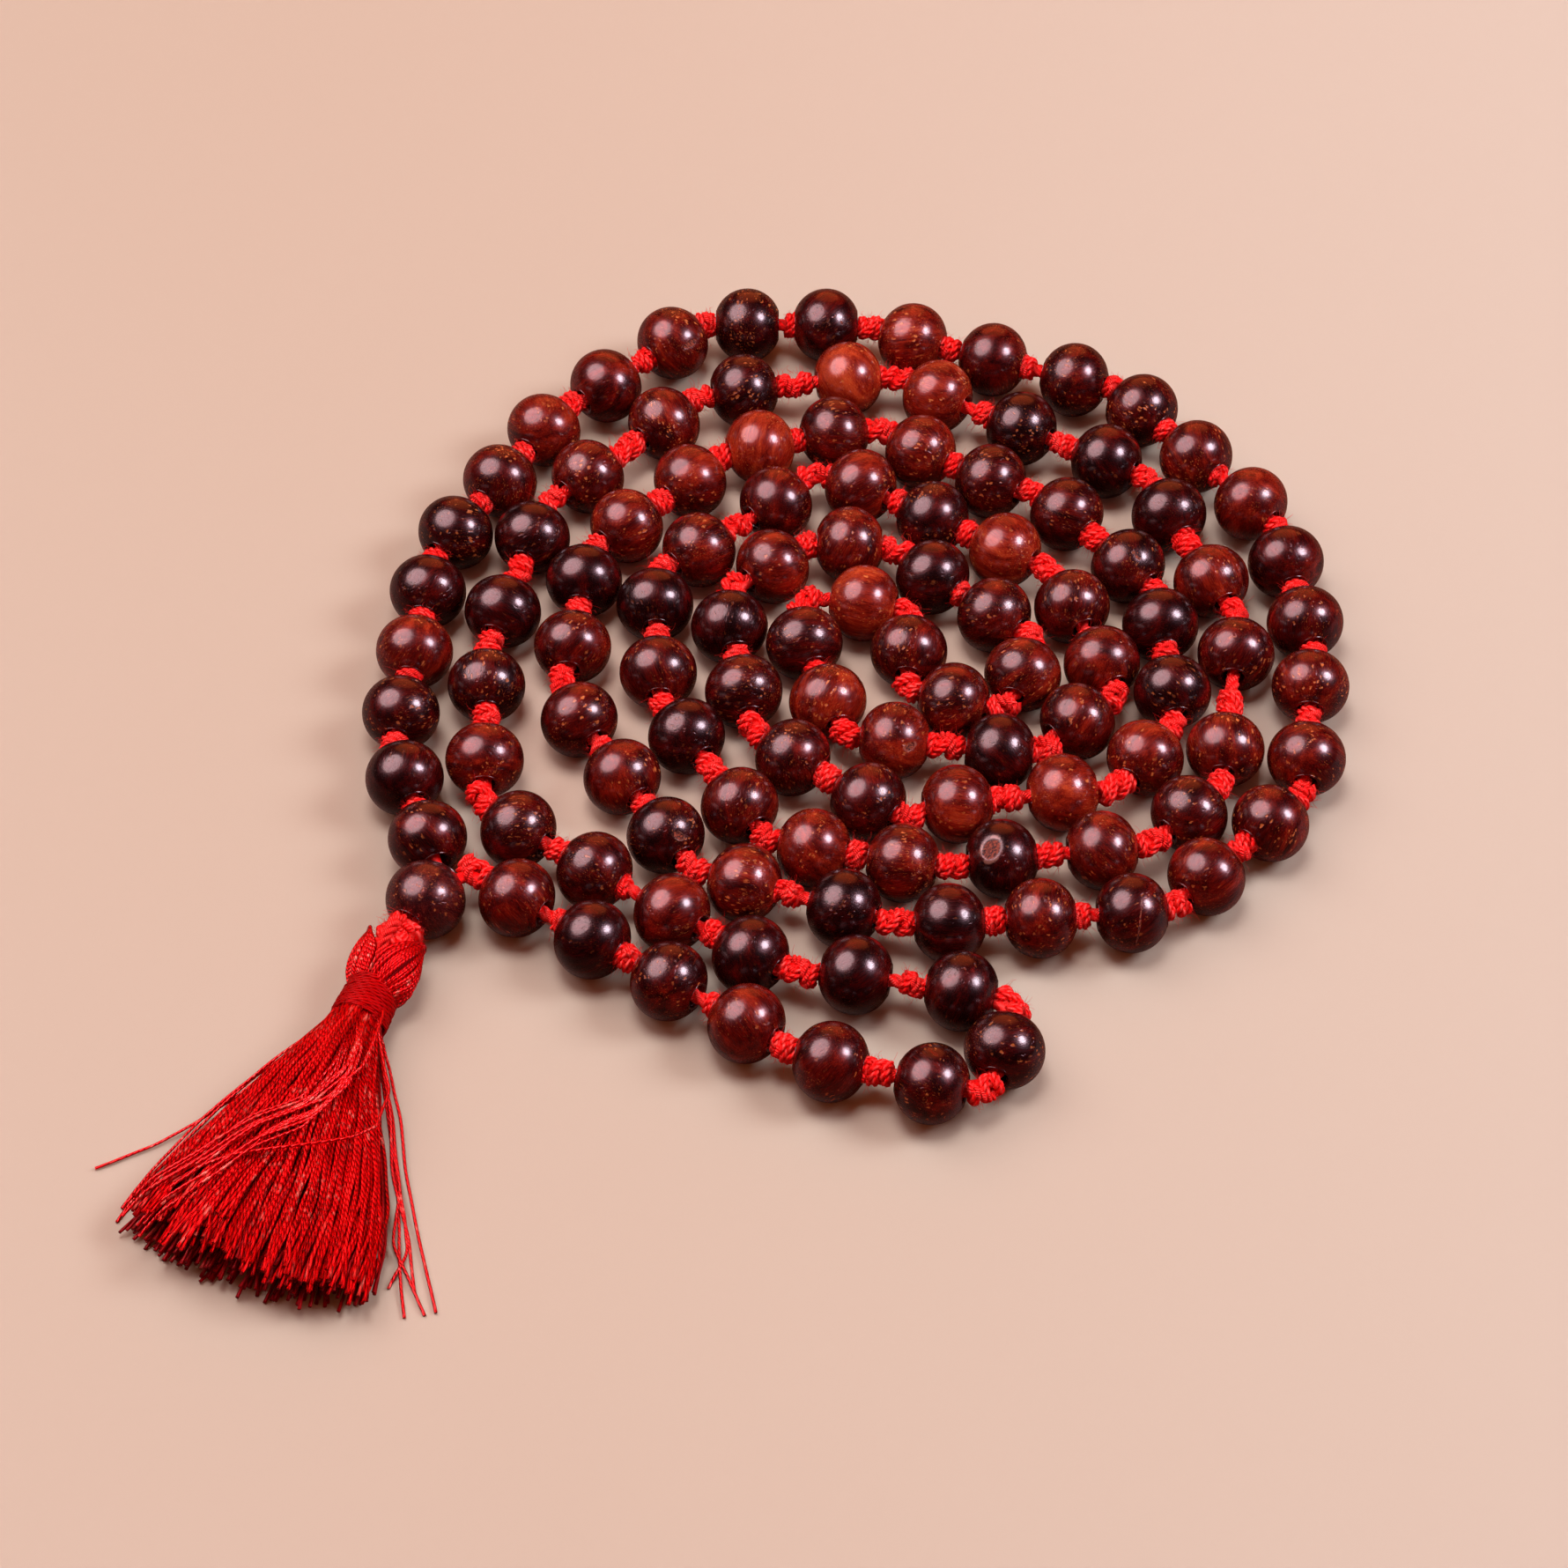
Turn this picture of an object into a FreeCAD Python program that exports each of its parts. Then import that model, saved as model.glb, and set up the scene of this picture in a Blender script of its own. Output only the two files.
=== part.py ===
import FreeCAD, Part
import os
import Sketcher
from FreeCAD import Placement, Rotation, Vector
from math import acos, cos, pi, radians, sin, sqrt, tan

# A prayer strand: 108 turned wooden beads with a knot between each two, a guru bead
# that gathers both ends, and a silk tassel.  It lies on a table in a flat double
# spiral.  Millimetres, +Z up, table at Z = 0, origin under the middle of the lay-out.

SIZES = {
    # counting beads, turned round a bore
    "bead_diameter": 8.0,
    "bead_length": 6.8,
    "bead_face": 3.2,
    "bead_bore": 2.2,
    # guru bead, with a bore for both ends of the cord
    "guru_diameter": 8.0,
    "guru_length": 6.8,
    "guru_face": 4.0,
    "guru_bore": 3.0,
    "mouth_chamfer": 0.25,
    # cord and the knots tied in it
    "cord_diameter": 1.2,
    "cord_clearance": 0.1,
    "knot_diameter": 3.4,
    "knot_end": 2.0,
    "knot_longest": 4.4,
    "end_knot_diameter": 4.4,
    # tassel: looped head, wound binding and fanned skirt
    "socket_clearance": 0.3,
    "head_width": 8.0,
    "head_height": 6.0,
    "head_length": 6.4,
    "neck_diameter": 5.0,
    "binding_thickness": 0.45,
    "binding_length": 4.0,
    "binding_clearance": 0.05,
    "skirt_length": 32.5,
    "skirt_width": 30.0,
    "skirt_height": 6.8,
    "skirt_sink": 0.4,
    # where the middle of the whole lay-out falls in the plan below
    "middle_x": -3.173,
    "middle_y": 0.174,
}

# The lay was drawn for beads of this size, and grows with whichever of the two grows.
DRAWN_DIAMETER = 8.0
DRAWN_LENGTH = 6.8

# The strand in order from the guru bead: each straight run's middle (x, y), its
# heading in degrees, how many beads it threads and how far apart they are.
RUNS = [
    (-37.1, -6.3, 109, 2, 8.2),
    (-38.2, 14.4, 83, 3, 8.3),
    (-30.2, 38.2, 59, 3, 8.6),
    (-15.7, 55.3, 42, 2, 9.6),
    (0.3, 61.2, 0, 2, 8.6),
    (22.7, 56.0, -19, 3, 9.2),
    (44.0, 41.7, -51, 3, 8.7),
    (53.4, 22.5, -80, 2, 8.5),
    (53.6, 4.9, -96, 2, 9.7),
    (45.5, -11.7, -135, 2, 9.6),
    (25.4, -20.3, -176, 3, 9.1),
    (1.0, -17.5, 162, 2, 10.4),
    (-16.4, -2.3, 121, 3, 8.8),
    (-21.4, 19.6, 84, 2, 9.1),
    (-13.3, 35.0, 44, 2, 9.2),
    (1.4, 44.1, 14, 2, 8.2),
    (18.3, 40.3, -30, 2, 8.5),
    (33.0, 29.8, -50, 2, 9.6),
    (39.5, 13.5, -85, 2, 9.1),
    (36.7, 0.2, -122, 1, 0.0),
    (22.8, -5.1, -172, 2, 10.8),
    (4.7, -2.6, 143, 2, 9.5),
    (-4.9, 13.4, 100, 2, 8.9),
    (-1.2, 26.1, 38, 1, 0.0),
    (6.9, 29.2, -1, 1, 0.0),
    (18.7, 22.0, -40, 2, 8.2),
    (24.6, 11.3, -109, 1, 0.0),
    (17.4, 7.7, 164, 1, 0.0),
    (12.9, 14.4, 86, 1, 0.0),
    (8.3, 21.0, 169, 1, 0.0),
    (3.3, 11.6, -73, 2, 8.2),
    (16.6, 1.7, -8, 2, 10.8),
    (30.0, 5.0, 37, 1, 0.0),
    (31.4, 16.7, 110, 2, 8.2),
    (15.7, 32.9, 149, 3, 8.8),
    (-4.9, 31.7, -141, 2, 10.4),
    (-13.2, 16.2, -87, 2, 9.3),
    (-7.2, -1.5, -59, 2, 10.6),
    (7.4, -12.4, -12, 2, 9.1),
    (26.8, -12.3, 6, 2, 10.1),
    (40.8, -7.1, 44, 1, 0.0),
    (45.8, 7.7, 82, 2, 12.9),
    (42.7, 28.7, 113, 2, 10.1),
    (25.5, 45.8, 152, 3, 10.1),
    (1.3, 52.3, -171, 2, 11.4),
    (-16.9, 42.7, -136, 2, 11.1),
    (-27.9, 25.0, -105, 2, 10.6),
    (-30.5, 4.9, -89, 2, 9.9),
    (-15.0, -17.0, -34, 4, 9.4),
    (12.2, -28.3, -11, 2, 10.5),
    (21.4, -36.4, -107, 1, 0.0),
    (9.4, -39.1, 165, 2, 10.1),
    (-15.1, -25.5, 146, 4, 9.2),
]

# The guru bead's middle and heading, towards the strand, and the tassel's heading.
GURU = (-35.6, -18.0, 62)
TASSEL_HEADING = -110
# How far past the guru bead's upper mouth the returning end turns into its bore.
RETURN_RISE = 1.2
# How far the last knot stands aside, away from the guru bead.
LAST_KNOT_ASIDE = 0.35

doc = FreeCAD.newDocument("prayer_strand")
sheet = doc.addObject("Spreadsheet::Sheet", "Sizes")
for line, (alias, value) in enumerate(SIZES.items(), start=1):
    sheet.set(f"A{line}", alias)
    sheet.set(f"B{line}", str(value))
    sheet.setAlias(f"B{line}", alias)
doc.recompute()


def size(alias):
    """A driving dimension's value."""
    return float(sheet.get(alias))


LAY = max(size("bead_diameter") / DRAWN_DIAMETER, size("bead_length") / DRAWN_LENGTH)
LAY_FORMULA = (
    f"max(Sizes.bead_diameter / {DRAWN_DIAMETER}; Sizes.bead_length / {DRAWN_LENGTH})"
)
HEIGHT = size("bead_diameter") / 2
subparts = []


def heading_vector(degrees):
    """The level direction at a heading, counted from +X towards +Y."""
    return Vector(cos(radians(degrees)), sin(radians(degrees)), 0)


def laid(x, y):
    """A point of the plan as it lies on the table, at the height of the bores."""
    return Vector(LAY * (x - size("middle_x")), LAY * (y - size("middle_y")), HEIGHT)


def angle_between(first, second):
    """The turn in radians between two unit directions."""
    return acos(max(-1.0, min(1.0, first.dot(second))))


def new_body(name):
    """An empty PartDesign body that is kept as a sub-part."""
    body = doc.addObject("PartDesign::Body", name)
    body.Label = name
    subparts.append(body)
    return body


def origin_plane(body, role):
    """One of the body's own origin planes."""
    return next(plane for plane in body.Origin.OriginFeatures if plane.Role == role)


def new_sketch(body, name, role, offset=("0", "0", "0")):
    """A sketch on an origin plane, moved along that plane's axes by three formulas."""
    sketch = body.newObject("Sketcher::SketchObject", name)
    sketch.AttachmentSupport = [(origin_plane(body, role), "")]
    sketch.MapMode = "FlatFace"
    for axis, formula in zip("xyz", offset):
        sketch.setExpression(f"AttachmentOffset.Base.{axis}", formula)
    return sketch


def tie(sketch, kind, where, formula):
    """A dimension of a sketch as it is drawn, then bound to a formula."""
    drawn = sketch.Geometry[where[0]] if len(where) == 1 else sketch.getPoint(where[2], where[3])
    if kind == "Distance":
        value = drawn.length()
    elif kind == "Radius":
        value = drawn.Radius
    elif kind == "Diameter":
        value = 2 * drawn.Radius
    else:
        value = drawn.x if kind == "DistanceX" else drawn.y
    index = sketch.addConstraint(Sketcher.Constraint(kind, *where, value))
    sketch.setExpression(f"Constraints[{index}]", formula)


# ---------------------------------------------------------------- beads

START, END = 1, 2
ROOT_POINT = (-1, 1)
V_AXIS = -2


def bead_profile(body, kind):
    """Half of a turned bead's section: barrel, flat faces, chamfered mouths and bore."""
    diameter = f"Sizes.{kind}_diameter"
    length = f"Sizes.{kind}_length"
    face = f"Sizes.{kind}_face"
    bore = f"Sizes.{kind}_bore"
    half = size(f"{kind}_length") / 2
    top = size(f"{kind}_diameter") / 2
    rim = size(f"{kind}_face") / 2
    wall = size(f"{kind}_bore") / 2
    chamfer = size("mouth_chamfer")
    sketch = new_sketch(body, body.Name + "_profile", "XY_Plane")
    corners = [
        Vector(-half, wall + chamfer),
        Vector(-half, rim),
        Vector(half, rim),
        Vector(half, wall + chamfer),
        Vector(half - chamfer, wall),
        Vector(chamfer - half, wall),
    ]
    edges = [
        Part.LineSegment(corners[0], corners[1]),
        Part.Arc(corners[1], Vector(0, top), corners[2]),
        Part.LineSegment(corners[2], corners[3]),
        Part.LineSegment(corners[3], corners[4]),
        Part.LineSegment(corners[4], corners[5]),
        Part.LineSegment(corners[5], corners[0]),
    ]
    sketch.addGeometry(edges, False)
    left_face, barrel, right_face, right_mouth, bore_wall, left_mouth = range(6)
    # the arc runs counter-clockwise, so it starts at the right face
    joints = [
        (left_face, END, barrel, END),
        (barrel, START, right_face, START),
        (right_face, END, right_mouth, START),
        (right_mouth, END, bore_wall, START),
        (bore_wall, END, left_mouth, START),
        (left_mouth, END, left_face, START),
    ]
    for joint in joints:
        sketch.addConstraint(Sketcher.Constraint("Coincident", *joint))
    sketch.addConstraint(Sketcher.Constraint("Vertical", right_face))
    sketch.addConstraint(Sketcher.Constraint("Symmetric", barrel, START, barrel, END, V_AXIS))
    sketch.addConstraint(
        Sketcher.Constraint("Symmetric", right_mouth, START, left_face, START, V_AXIS)
    )
    sketch.addConstraint(
        Sketcher.Constraint("Symmetric", bore_wall, START, bore_wall, END, V_AXIS)
    )
    sagitta = f"({diameter} - {face}) / 2"
    tie(sketch, "Radius", (barrel,), f"(({length} / 2)^2 + ({sagitta})^2) / (2 * {sagitta})")
    tie(sketch, "DistanceX", (*ROOT_POINT, barrel, START), f"{length} / 2")
    tie(sketch, "DistanceY", (*ROOT_POINT, barrel, START), f"{face} / 2")
    tie(sketch, "DistanceY", (*ROOT_POINT, right_mouth, START), f"{bore} / 2 + Sizes.mouth_chamfer")
    tie(sketch, "DistanceY", (*ROOT_POINT, bore_wall, START), f"{bore} / 2")
    tie(
        sketch, "DistanceX", (*ROOT_POINT, bore_wall, START),
        f"{length} / 2 - Sizes.mouth_chamfer",
    )
    return sketch


def turned_beads(name, kind, x, y, heading, count, spacing):
    """A straight run of equal beads, turned from one profile and repeated along it."""
    body = new_body(name)
    body.AllowCompound = True
    sketch = bead_profile(body, kind)
    turned = body.newObject("PartDesign::Revolution", name + "_turned")
    turned.Profile = sketch
    turned.ReferenceAxis = (sketch, ["H_Axis"])
    turned.Angle = 360
    if count > 1:
        row = body.newObject("PartDesign::LinearPattern", name + "_row")
        row.Originals = [turned]
        row.Direction = (sketch, ["H_Axis"])
        row.Occurrences = count
        row.setExpression("Length", f"{LAY_FORMULA} * {spacing * (count - 1)}")
        body.Tip = row
    back = spacing * (count - 1) / 2
    first_x = x - back * cos(radians(heading))
    first_y = y - back * sin(radians(heading))
    body.Placement = Placement(Vector(), Rotation(Vector(0, 0, 1), heading))
    body.setExpression("Placement.Base.x", f"{LAY_FORMULA} * ({first_x:.4f} - Sizes.middle_x)")
    body.setExpression("Placement.Base.y", f"{LAY_FORMULA} * ({first_y:.4f} - Sizes.middle_y)")
    body.setExpression("Placement.Base.z", "Sizes.bead_diameter / 2")
    return body


def run_name(first, count):
    """A run is named after the counting beads that it threads."""
    return f"beads_{first:03d}" if count == 1 else f"beads_{first:03d}_{first + count - 1:03d}"


first_bead = 1
for x, y, heading, count, spacing in RUNS:
    turned_beads(run_name(first_bead, count), "bead", x, y, heading, count, spacing)
    first_bead += count
turned_beads("guru_bead", "guru", *GURU, 1, 0.0)


# ---------------------------------------------------------------- cord and knots

def run_mouths(x, y, heading, count, spacing, length):
    """Where the cord enters and leaves a run of beads."""
    along = heading_vector(heading)
    half = (LAY * spacing * (count - 1) + length) / 2
    return laid(x, y) - along * half, laid(x, y) + along * half


guru_along = heading_vector(GURU[2])
guru_side = heading_vector(GURU[2] - 90)
guru_lower, guru_upper = run_mouths(*GURU, 1, 0.0, size("guru_length"))
guru_mouth_radius = size("guru_bore") / 2 + size("mouth_chamfer")
# the end knot sits in the lower mouth like a ball on a ring, a clearance away
seat_radius = size("end_knot_diameter") / 2 + size("socket_clearance")
end_knot_middle = guru_lower - guru_along * sqrt(seat_radius**2 - guru_mouth_radius**2)
# both ends of the cord lie side by side in the guru bead's bore
strand_offset = (size("cord_diameter") + size("cord_clearance")) / 2

# a knot sits this share of its gap outside the cord for each unit that the heading turns
OUTWARD = 0.16
# degrees at one bead's mouth beyond which the knot is pressed into a ball
SHARP_TURN = 30
# degrees beyond which the cord bows outwards with its knot
BOWED_TURN = 55
# half way from a knot's end to its widest, where it first meets a tilted bead
KNOT_SHOULDER = (size("knot_end") + size("knot_diameter")) / 4


class Corner:
    """The gap between two runs: its mouths, both headings, its sharper turn and middle."""

    def __init__(self, leaving, entry, before, after):
        self.leaving = leaving
        self.entry = entry
        self.before = heading_vector(before)
        self.after = heading_vector(after)
        self.gap = (entry - leaving).Length
        chord = (entry - leaving).normalize()
        self.turn = max(angle_between(chord, self.before), angle_between(chord, self.after))
        outward = self.before - self.after
        furthest = (size("knot_diameter") - size("cord_diameter")) / 2
        bow = min(OUTWARD * self.gap, furthest / outward.Length)
        self.middle = (leaving + entry) / 2 + outward * bow

    def knot(self):
        """A ball where the strand turns sharply, and a barrel elsewhere."""
        if self.turn > radians(SHARP_TURN):
            room = min(
                (self.middle - self.leaving).dot(self.before),
                (self.entry - self.middle).dot(self.after),
            )
            radius = min(size("knot_diameter") / 2, room - size("cord_clearance"))
            return Part.makeSphere(radius, self.middle)
        half = self.gap / 2 - size("cord_clearance") - KNOT_SHOULDER * sin(self.turn)
        along = (self.before + self.after).normalize()
        return barrel(self.middle, along, min(half, size("knot_longest") / 2))


mouths = [run_mouths(*run, size("bead_length")) for run in RUNS]
corners = [
    Corner(mouths[number][1], mouths[number + 1][0], run[2], RUNS[number + 1][2])
    for number, run in enumerate(RUNS[:-1])
]
route = [end_knot_middle - guru_side * strand_offset, guru_upper - guru_side * strand_offset]
for (entry, leaving), corner in zip(mouths, corners):
    route += [entry, leaving]
    if corner.turn > radians(BOWED_TURN):
        route.append(corner.middle)
route += [
    *mouths[-1],
    guru_upper + guru_along * LAY * RETURN_RISE + guru_side * strand_offset,
    end_knot_middle + guru_side * strand_offset,
]

# the most of a straight stretch that the arc at each of its ends may take up
ARC_SHARE = 0.45


def rounded_route(points):
    """Straight runs joined by tangent arcs, each as large as the bores leave room for."""
    edges = []
    radii = []
    reached = points[0]
    for before, corner, after in zip(points, points[1:], points[2:]):
        arriving = (corner - before).normalize()
        leaving = (after - corner).normalize()
        turn = angle_between(arriving, leaving)
        shorter = min((corner - before).Length, (after - corner).Length)
        tangent = ARC_SHARE * shorter
        if after is not points[-1]:
            slanted = size("cord_diameter") / cos(turn / 2)
            bend_room = (size("bead_bore") - slanted) / 2 - size("cord_clearance")
            tangent = min(tangent, bend_room / tan(turn / 4))
        start = corner - arriving * tangent
        end = corner + leaving * tangent
        inward = (leaving - arriving).normalize()
        edges.append(Part.LineSegment(reached, start).toShape())
        edges.append(Part.Arc(start, corner + inward * tangent * tan(turn / 4), end).toShape())
        radii.append(tangent / tan(turn / 2))
        reached = end
    edges.append(Part.LineSegment(reached, points[-1]).toShape())
    return Part.Wire(edges), radii


cord_wire, cord_radii = rounded_route(route)
cord_line = doc.addObject("Part::Feature", "cord_line")
cord_line.Shape = cord_wire
cord_section = doc.addObject("Part::Circle", "cord_section")
cord_section.setExpression("Radius", "Sizes.cord_diameter / 2")
cord_section.Placement = Placement(route[0], Rotation(Vector(0, 0, 1), guru_along))
cord = doc.addObject("Part::Sweep", "stringing_cord")
cord.Label = "stringing_cord"
cord.Sections = [cord_section]
cord.Spine = (cord_line, [])
cord.Solid = True
cord.Frenet = False
subparts.append(cord)


def barrel(middle, along, half):
    """A knot in line with its beads: a short barrel between two flat ends."""
    side = along.cross(Vector(0, 0, 1))
    end = size("knot_end") / 2
    low = middle - along * half
    high = middle + along * half
    widest = middle + side * size("knot_diameter") / 2
    outline = Part.Wire([
        Part.LineSegment(low, low + side * end).toShape(),
        Part.Arc(low + side * end, widest, high + side * end).toShape(),
        Part.LineSegment(high + side * end, high).toShape(),
        Part.LineSegment(high, low).toShape(),
    ])
    return Part.Face(outline).revolve(middle, along, 360)


knots = []
for x, y, heading, count, spacing in RUNS:
    along = heading_vector(heading)
    half = (LAY * spacing - size("bead_length")) / 2 - size("cord_clearance")
    for place in range(count - 1):
        middle = laid(x, y) + along * LAY * spacing * (place - (count - 2) / 2)
        knots.append(barrel(middle, along, min(half, size("knot_longest") / 2)))
knots += [corner.knot() for corner in corners]
# the last knot stands between bead 108 and the cord's turn into the guru bead
last_stretch = route[-2] - route[-3]
last_radius = min(size("knot_diameter"), last_stretch.Length) / 2
last_along = heading_vector(RUNS[-1][2])
last_aside = heading_vector(RUNS[-1][2] - 90) * LAY * LAST_KNOT_ASIDE
last_middle = route[-3] + last_along * (last_radius + size("cord_clearance")) + last_aside
knots.append(Part.makeSphere(last_radius, last_middle))
spacer_knots = doc.addObject("Part::Feature", "spacer_knots")
spacer_knots.Label = "spacer_knots"
spacer_knots.Shape = Part.Compound(knots)
subparts.append(spacer_knots)

end_knot = doc.addObject("Part::Sphere", "end_knot")
end_knot.Label = "end_knot"
end_knot.setExpression("Radius", "Sizes.end_knot_diameter / 2")
end_knot.Placement = Placement(end_knot_middle, Rotation())
subparts.append(end_knot)


# ---------------------------------------------------------------- tassel

BINDING_INSIDE = "(Sizes.neck_diameter + 2 * Sizes.binding_clearance)"
BINDING_OUTSIDE = f"({BINDING_INSIDE} + 2 * Sizes.binding_thickness)"
# the neck hangs lower than the bores, so that the binding just clears the table
NECK_DROP = f"((Sizes.bead_diameter - {BINDING_OUTSIDE}) / 2 - Sizes.cord_clearance)"
# the head's and the skirt's sections: place along the part, share of width and of height
HEAD_SECTIONS = [(0.05, 0.8, 0.8), (0.68, 1.0, 1.0)]
SKIRT_SECTIONS = [(0.48, 0.57, 1.0), (1.03, 1.0, 0.9)]


def tassel_body(name):
    """A body whose own X runs down the tassel from the middle of the end knot."""
    body = doc.addObject("PartDesign::Body", name)
    body.Label = name
    body.Placement = Placement(end_knot_middle, Rotation(Vector(0, 0, 1), TASSEL_HEADING))
    return body


def oval(body, name, along, height, width, tall):
    """An oval section across the tassel; height is how far its middle is above the bores."""
    sketch = new_sketch(body, name, "YZ_Plane", ("0", height, along))
    sketch.addGeometry(Part.Ellipse(Vector(3, 0), Vector(0, 2), Vector()), False)
    sketch.exposeInternalGeometry(0)
    sketch.addConstraint(Sketcher.Constraint("Coincident", 0, 3, *ROOT_POINT))
    sketch.addConstraint(Sketcher.Constraint("Horizontal", 1))
    tie(sketch, "Distance", (1,), width)
    tie(sketch, "Distance", (2,), tall)
    return sketch


def rings(body, name, along, diameters):
    """Circles about the neck's axis, across the tassel."""
    sketch = new_sketch(body, name, "YZ_Plane", ("0", "-" + NECK_DROP, along))
    for index, diameter in enumerate(diameters):
        sketch.addGeometry(Part.Circle(Vector(), Vector(0, 0, 1), 2.0 + index), False)
        sketch.addConstraint(Sketcher.Constraint("Coincident", index, 3, *ROOT_POINT))
        tie(sketch, "Diameter", (index,), diameter)
    return sketch


def loft_through(body, name, sections):
    """Solid silk through two or more sections."""
    loft = body.newObject("PartDesign::AdditiveLoft", name)
    loft.Profile = sections[0]
    loft.Sections = sections[1:]


def looped_head():
    """The silk loop below the end knot: a bulb with a ball socket in its top."""
    body = tassel_body("tassel_head")
    sections = [
        oval(body, f"head_section_{number}", f"Sizes.head_length * {place}",
             f"-{NECK_DROP} * {place}", f"Sizes.head_width * {wide}", f"Sizes.head_height * {tall}")
        for number, (place, wide, tall) in enumerate(HEAD_SECTIONS)
    ]
    sections.append(rings(body, "head_neck", "Sizes.head_length", ["Sizes.neck_diameter"]))
    loft_through(body, "head_loft", sections)
    socket = body.newObject("PartDesign::SubtractiveSphere", "head_socket")
    socket.setExpression("Radius", "Sizes.end_knot_diameter / 2 + Sizes.socket_clearance")
    subparts.append(body)


def wound_binding():
    """The thread wound round the neck."""
    body = tassel_body("tassel_binding")
    band = body.newObject("PartDesign::Pad", "binding_band")
    band.Profile = rings(
        body, "binding_section", "Sizes.head_length", [BINDING_INSIDE, BINDING_OUTSIDE]
    )
    band.setExpression("Length", "Sizes.binding_length")
    subparts.append(body)


def fanned_skirt():
    """The threads below the head: a neck, then a fan with a round hem, flat on the table."""
    fan = tassel_body("skirt_fan")
    neck = fan.newObject("PartDesign::Pad", "skirt_neck")
    neck.Profile = rings(fan, "skirt_neck_section", "Sizes.head_length", ["Sizes.neck_diameter"])
    neck.setExpression("Length", "Sizes.binding_length")
    neck_end = "Sizes.head_length + Sizes.binding_length"
    sections = [rings(fan, "skirt_top", neck_end, ["Sizes.neck_diameter"])]
    for number, (place, wide, tall) in enumerate(SKIRT_SECTIONS):
        height = f"Sizes.skirt_height * {tall}"
        sections.append(oval(
            fan, f"skirt_section_{number}", f"{neck_end} + Sizes.skirt_length * {place}",
            f"({height} - Sizes.bead_diameter) / 2 - Sizes.skirt_sink",
            f"Sizes.skirt_width * {wide}", height,
        ))
    loft_through(fan, "skirt_loft", sections)
    hem = doc.addObject("Part::Cylinder", "skirt_hem")
    hem.setExpression("Radius", "Sizes.skirt_length")
    hem.setExpression("Height", "Sizes.bead_diameter * 2")
    neck_length = size("head_length") + size("binding_length")
    hem_middle = end_knot_middle + heading_vector(TASSEL_HEADING) * neck_length
    hem.Placement = Placement(hem_middle - Vector(0, 0, HEIGHT), Rotation())
    skirt = doc.addObject("Part::Common", "tassel_skirt")
    skirt.Label = "tassel_skirt"
    skirt.Base = fan
    skirt.Tool = hem
    subparts.append(skirt)


looped_head()
wound_binding()
fanned_skirt()

# ---------------------------------------------------------------- checks and files

doc.recompute()
for item in doc.Objects:
    if "Invalid" in item.State or "Error" in item.State:
        raise RuntimeError(f"{item.Name} did not build: {item.State}")
os.makedirs("parts", exist_ok=True)
bounds = FreeCAD.BoundBox()
for part in subparts:
    shape = part.Shape
    if shape.isNull() or not shape.isValid() or not shape.Solids:
        raise RuntimeError(f"{part.Label} has no valid solid")
    bounds.add(shape.BoundBox)
    shape.exportStep(f"parts/{part.Label}.step")

section_area = pi * (size("cord_diameter") / 2) ** 2
print("sub-parts", len(subparts), "beads", first_bead - 1, "knots", len(knots))
print("cord length", round(cord_wire.Length, 1))
print("cord volume over section times length", cord.Shape.Volume / (section_area * cord_wire.Length))
print("cord radii", [round(radius, 1) for radius in cord_radii])
print("box", bounds)
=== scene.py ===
import random
from math import cos, pi, radians, sin, sqrt

import bmesh
import bpy
from mathutils import Matrix, Vector, noise


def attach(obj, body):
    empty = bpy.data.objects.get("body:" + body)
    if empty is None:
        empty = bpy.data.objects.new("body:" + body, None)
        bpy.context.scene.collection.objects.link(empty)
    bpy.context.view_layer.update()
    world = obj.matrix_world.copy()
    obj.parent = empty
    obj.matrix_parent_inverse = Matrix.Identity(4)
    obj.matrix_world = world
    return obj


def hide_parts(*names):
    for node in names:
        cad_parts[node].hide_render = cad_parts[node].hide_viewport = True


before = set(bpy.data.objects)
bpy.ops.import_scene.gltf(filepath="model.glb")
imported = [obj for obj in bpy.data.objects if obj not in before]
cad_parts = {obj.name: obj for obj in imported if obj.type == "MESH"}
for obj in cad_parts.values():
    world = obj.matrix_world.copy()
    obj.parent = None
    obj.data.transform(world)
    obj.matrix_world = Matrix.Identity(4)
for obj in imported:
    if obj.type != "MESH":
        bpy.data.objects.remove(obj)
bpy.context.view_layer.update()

# Lengths below are in millimetres, as on the maker's plan, until they are placed.
MM = 0.001
MIDDLE_X, MIDDLE_Y = -3.173, 0.174
BEAD_DIAMETER = 8.0
BEAD_LENGTH = 6.8
BEAD_FACE = 3.2
BEAD_BORE = 2.2
GURU_DIAMETER = 8.0
GURU_LENGTH = 6.8
GURU_FACE = 4.0
GURU_BORE = 3.0
CORD_DIAMETER = 1.2
CORD_HEIGHT = BEAD_DIAMETER / 2
KNOT_DIAMETER = 3.05

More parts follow.
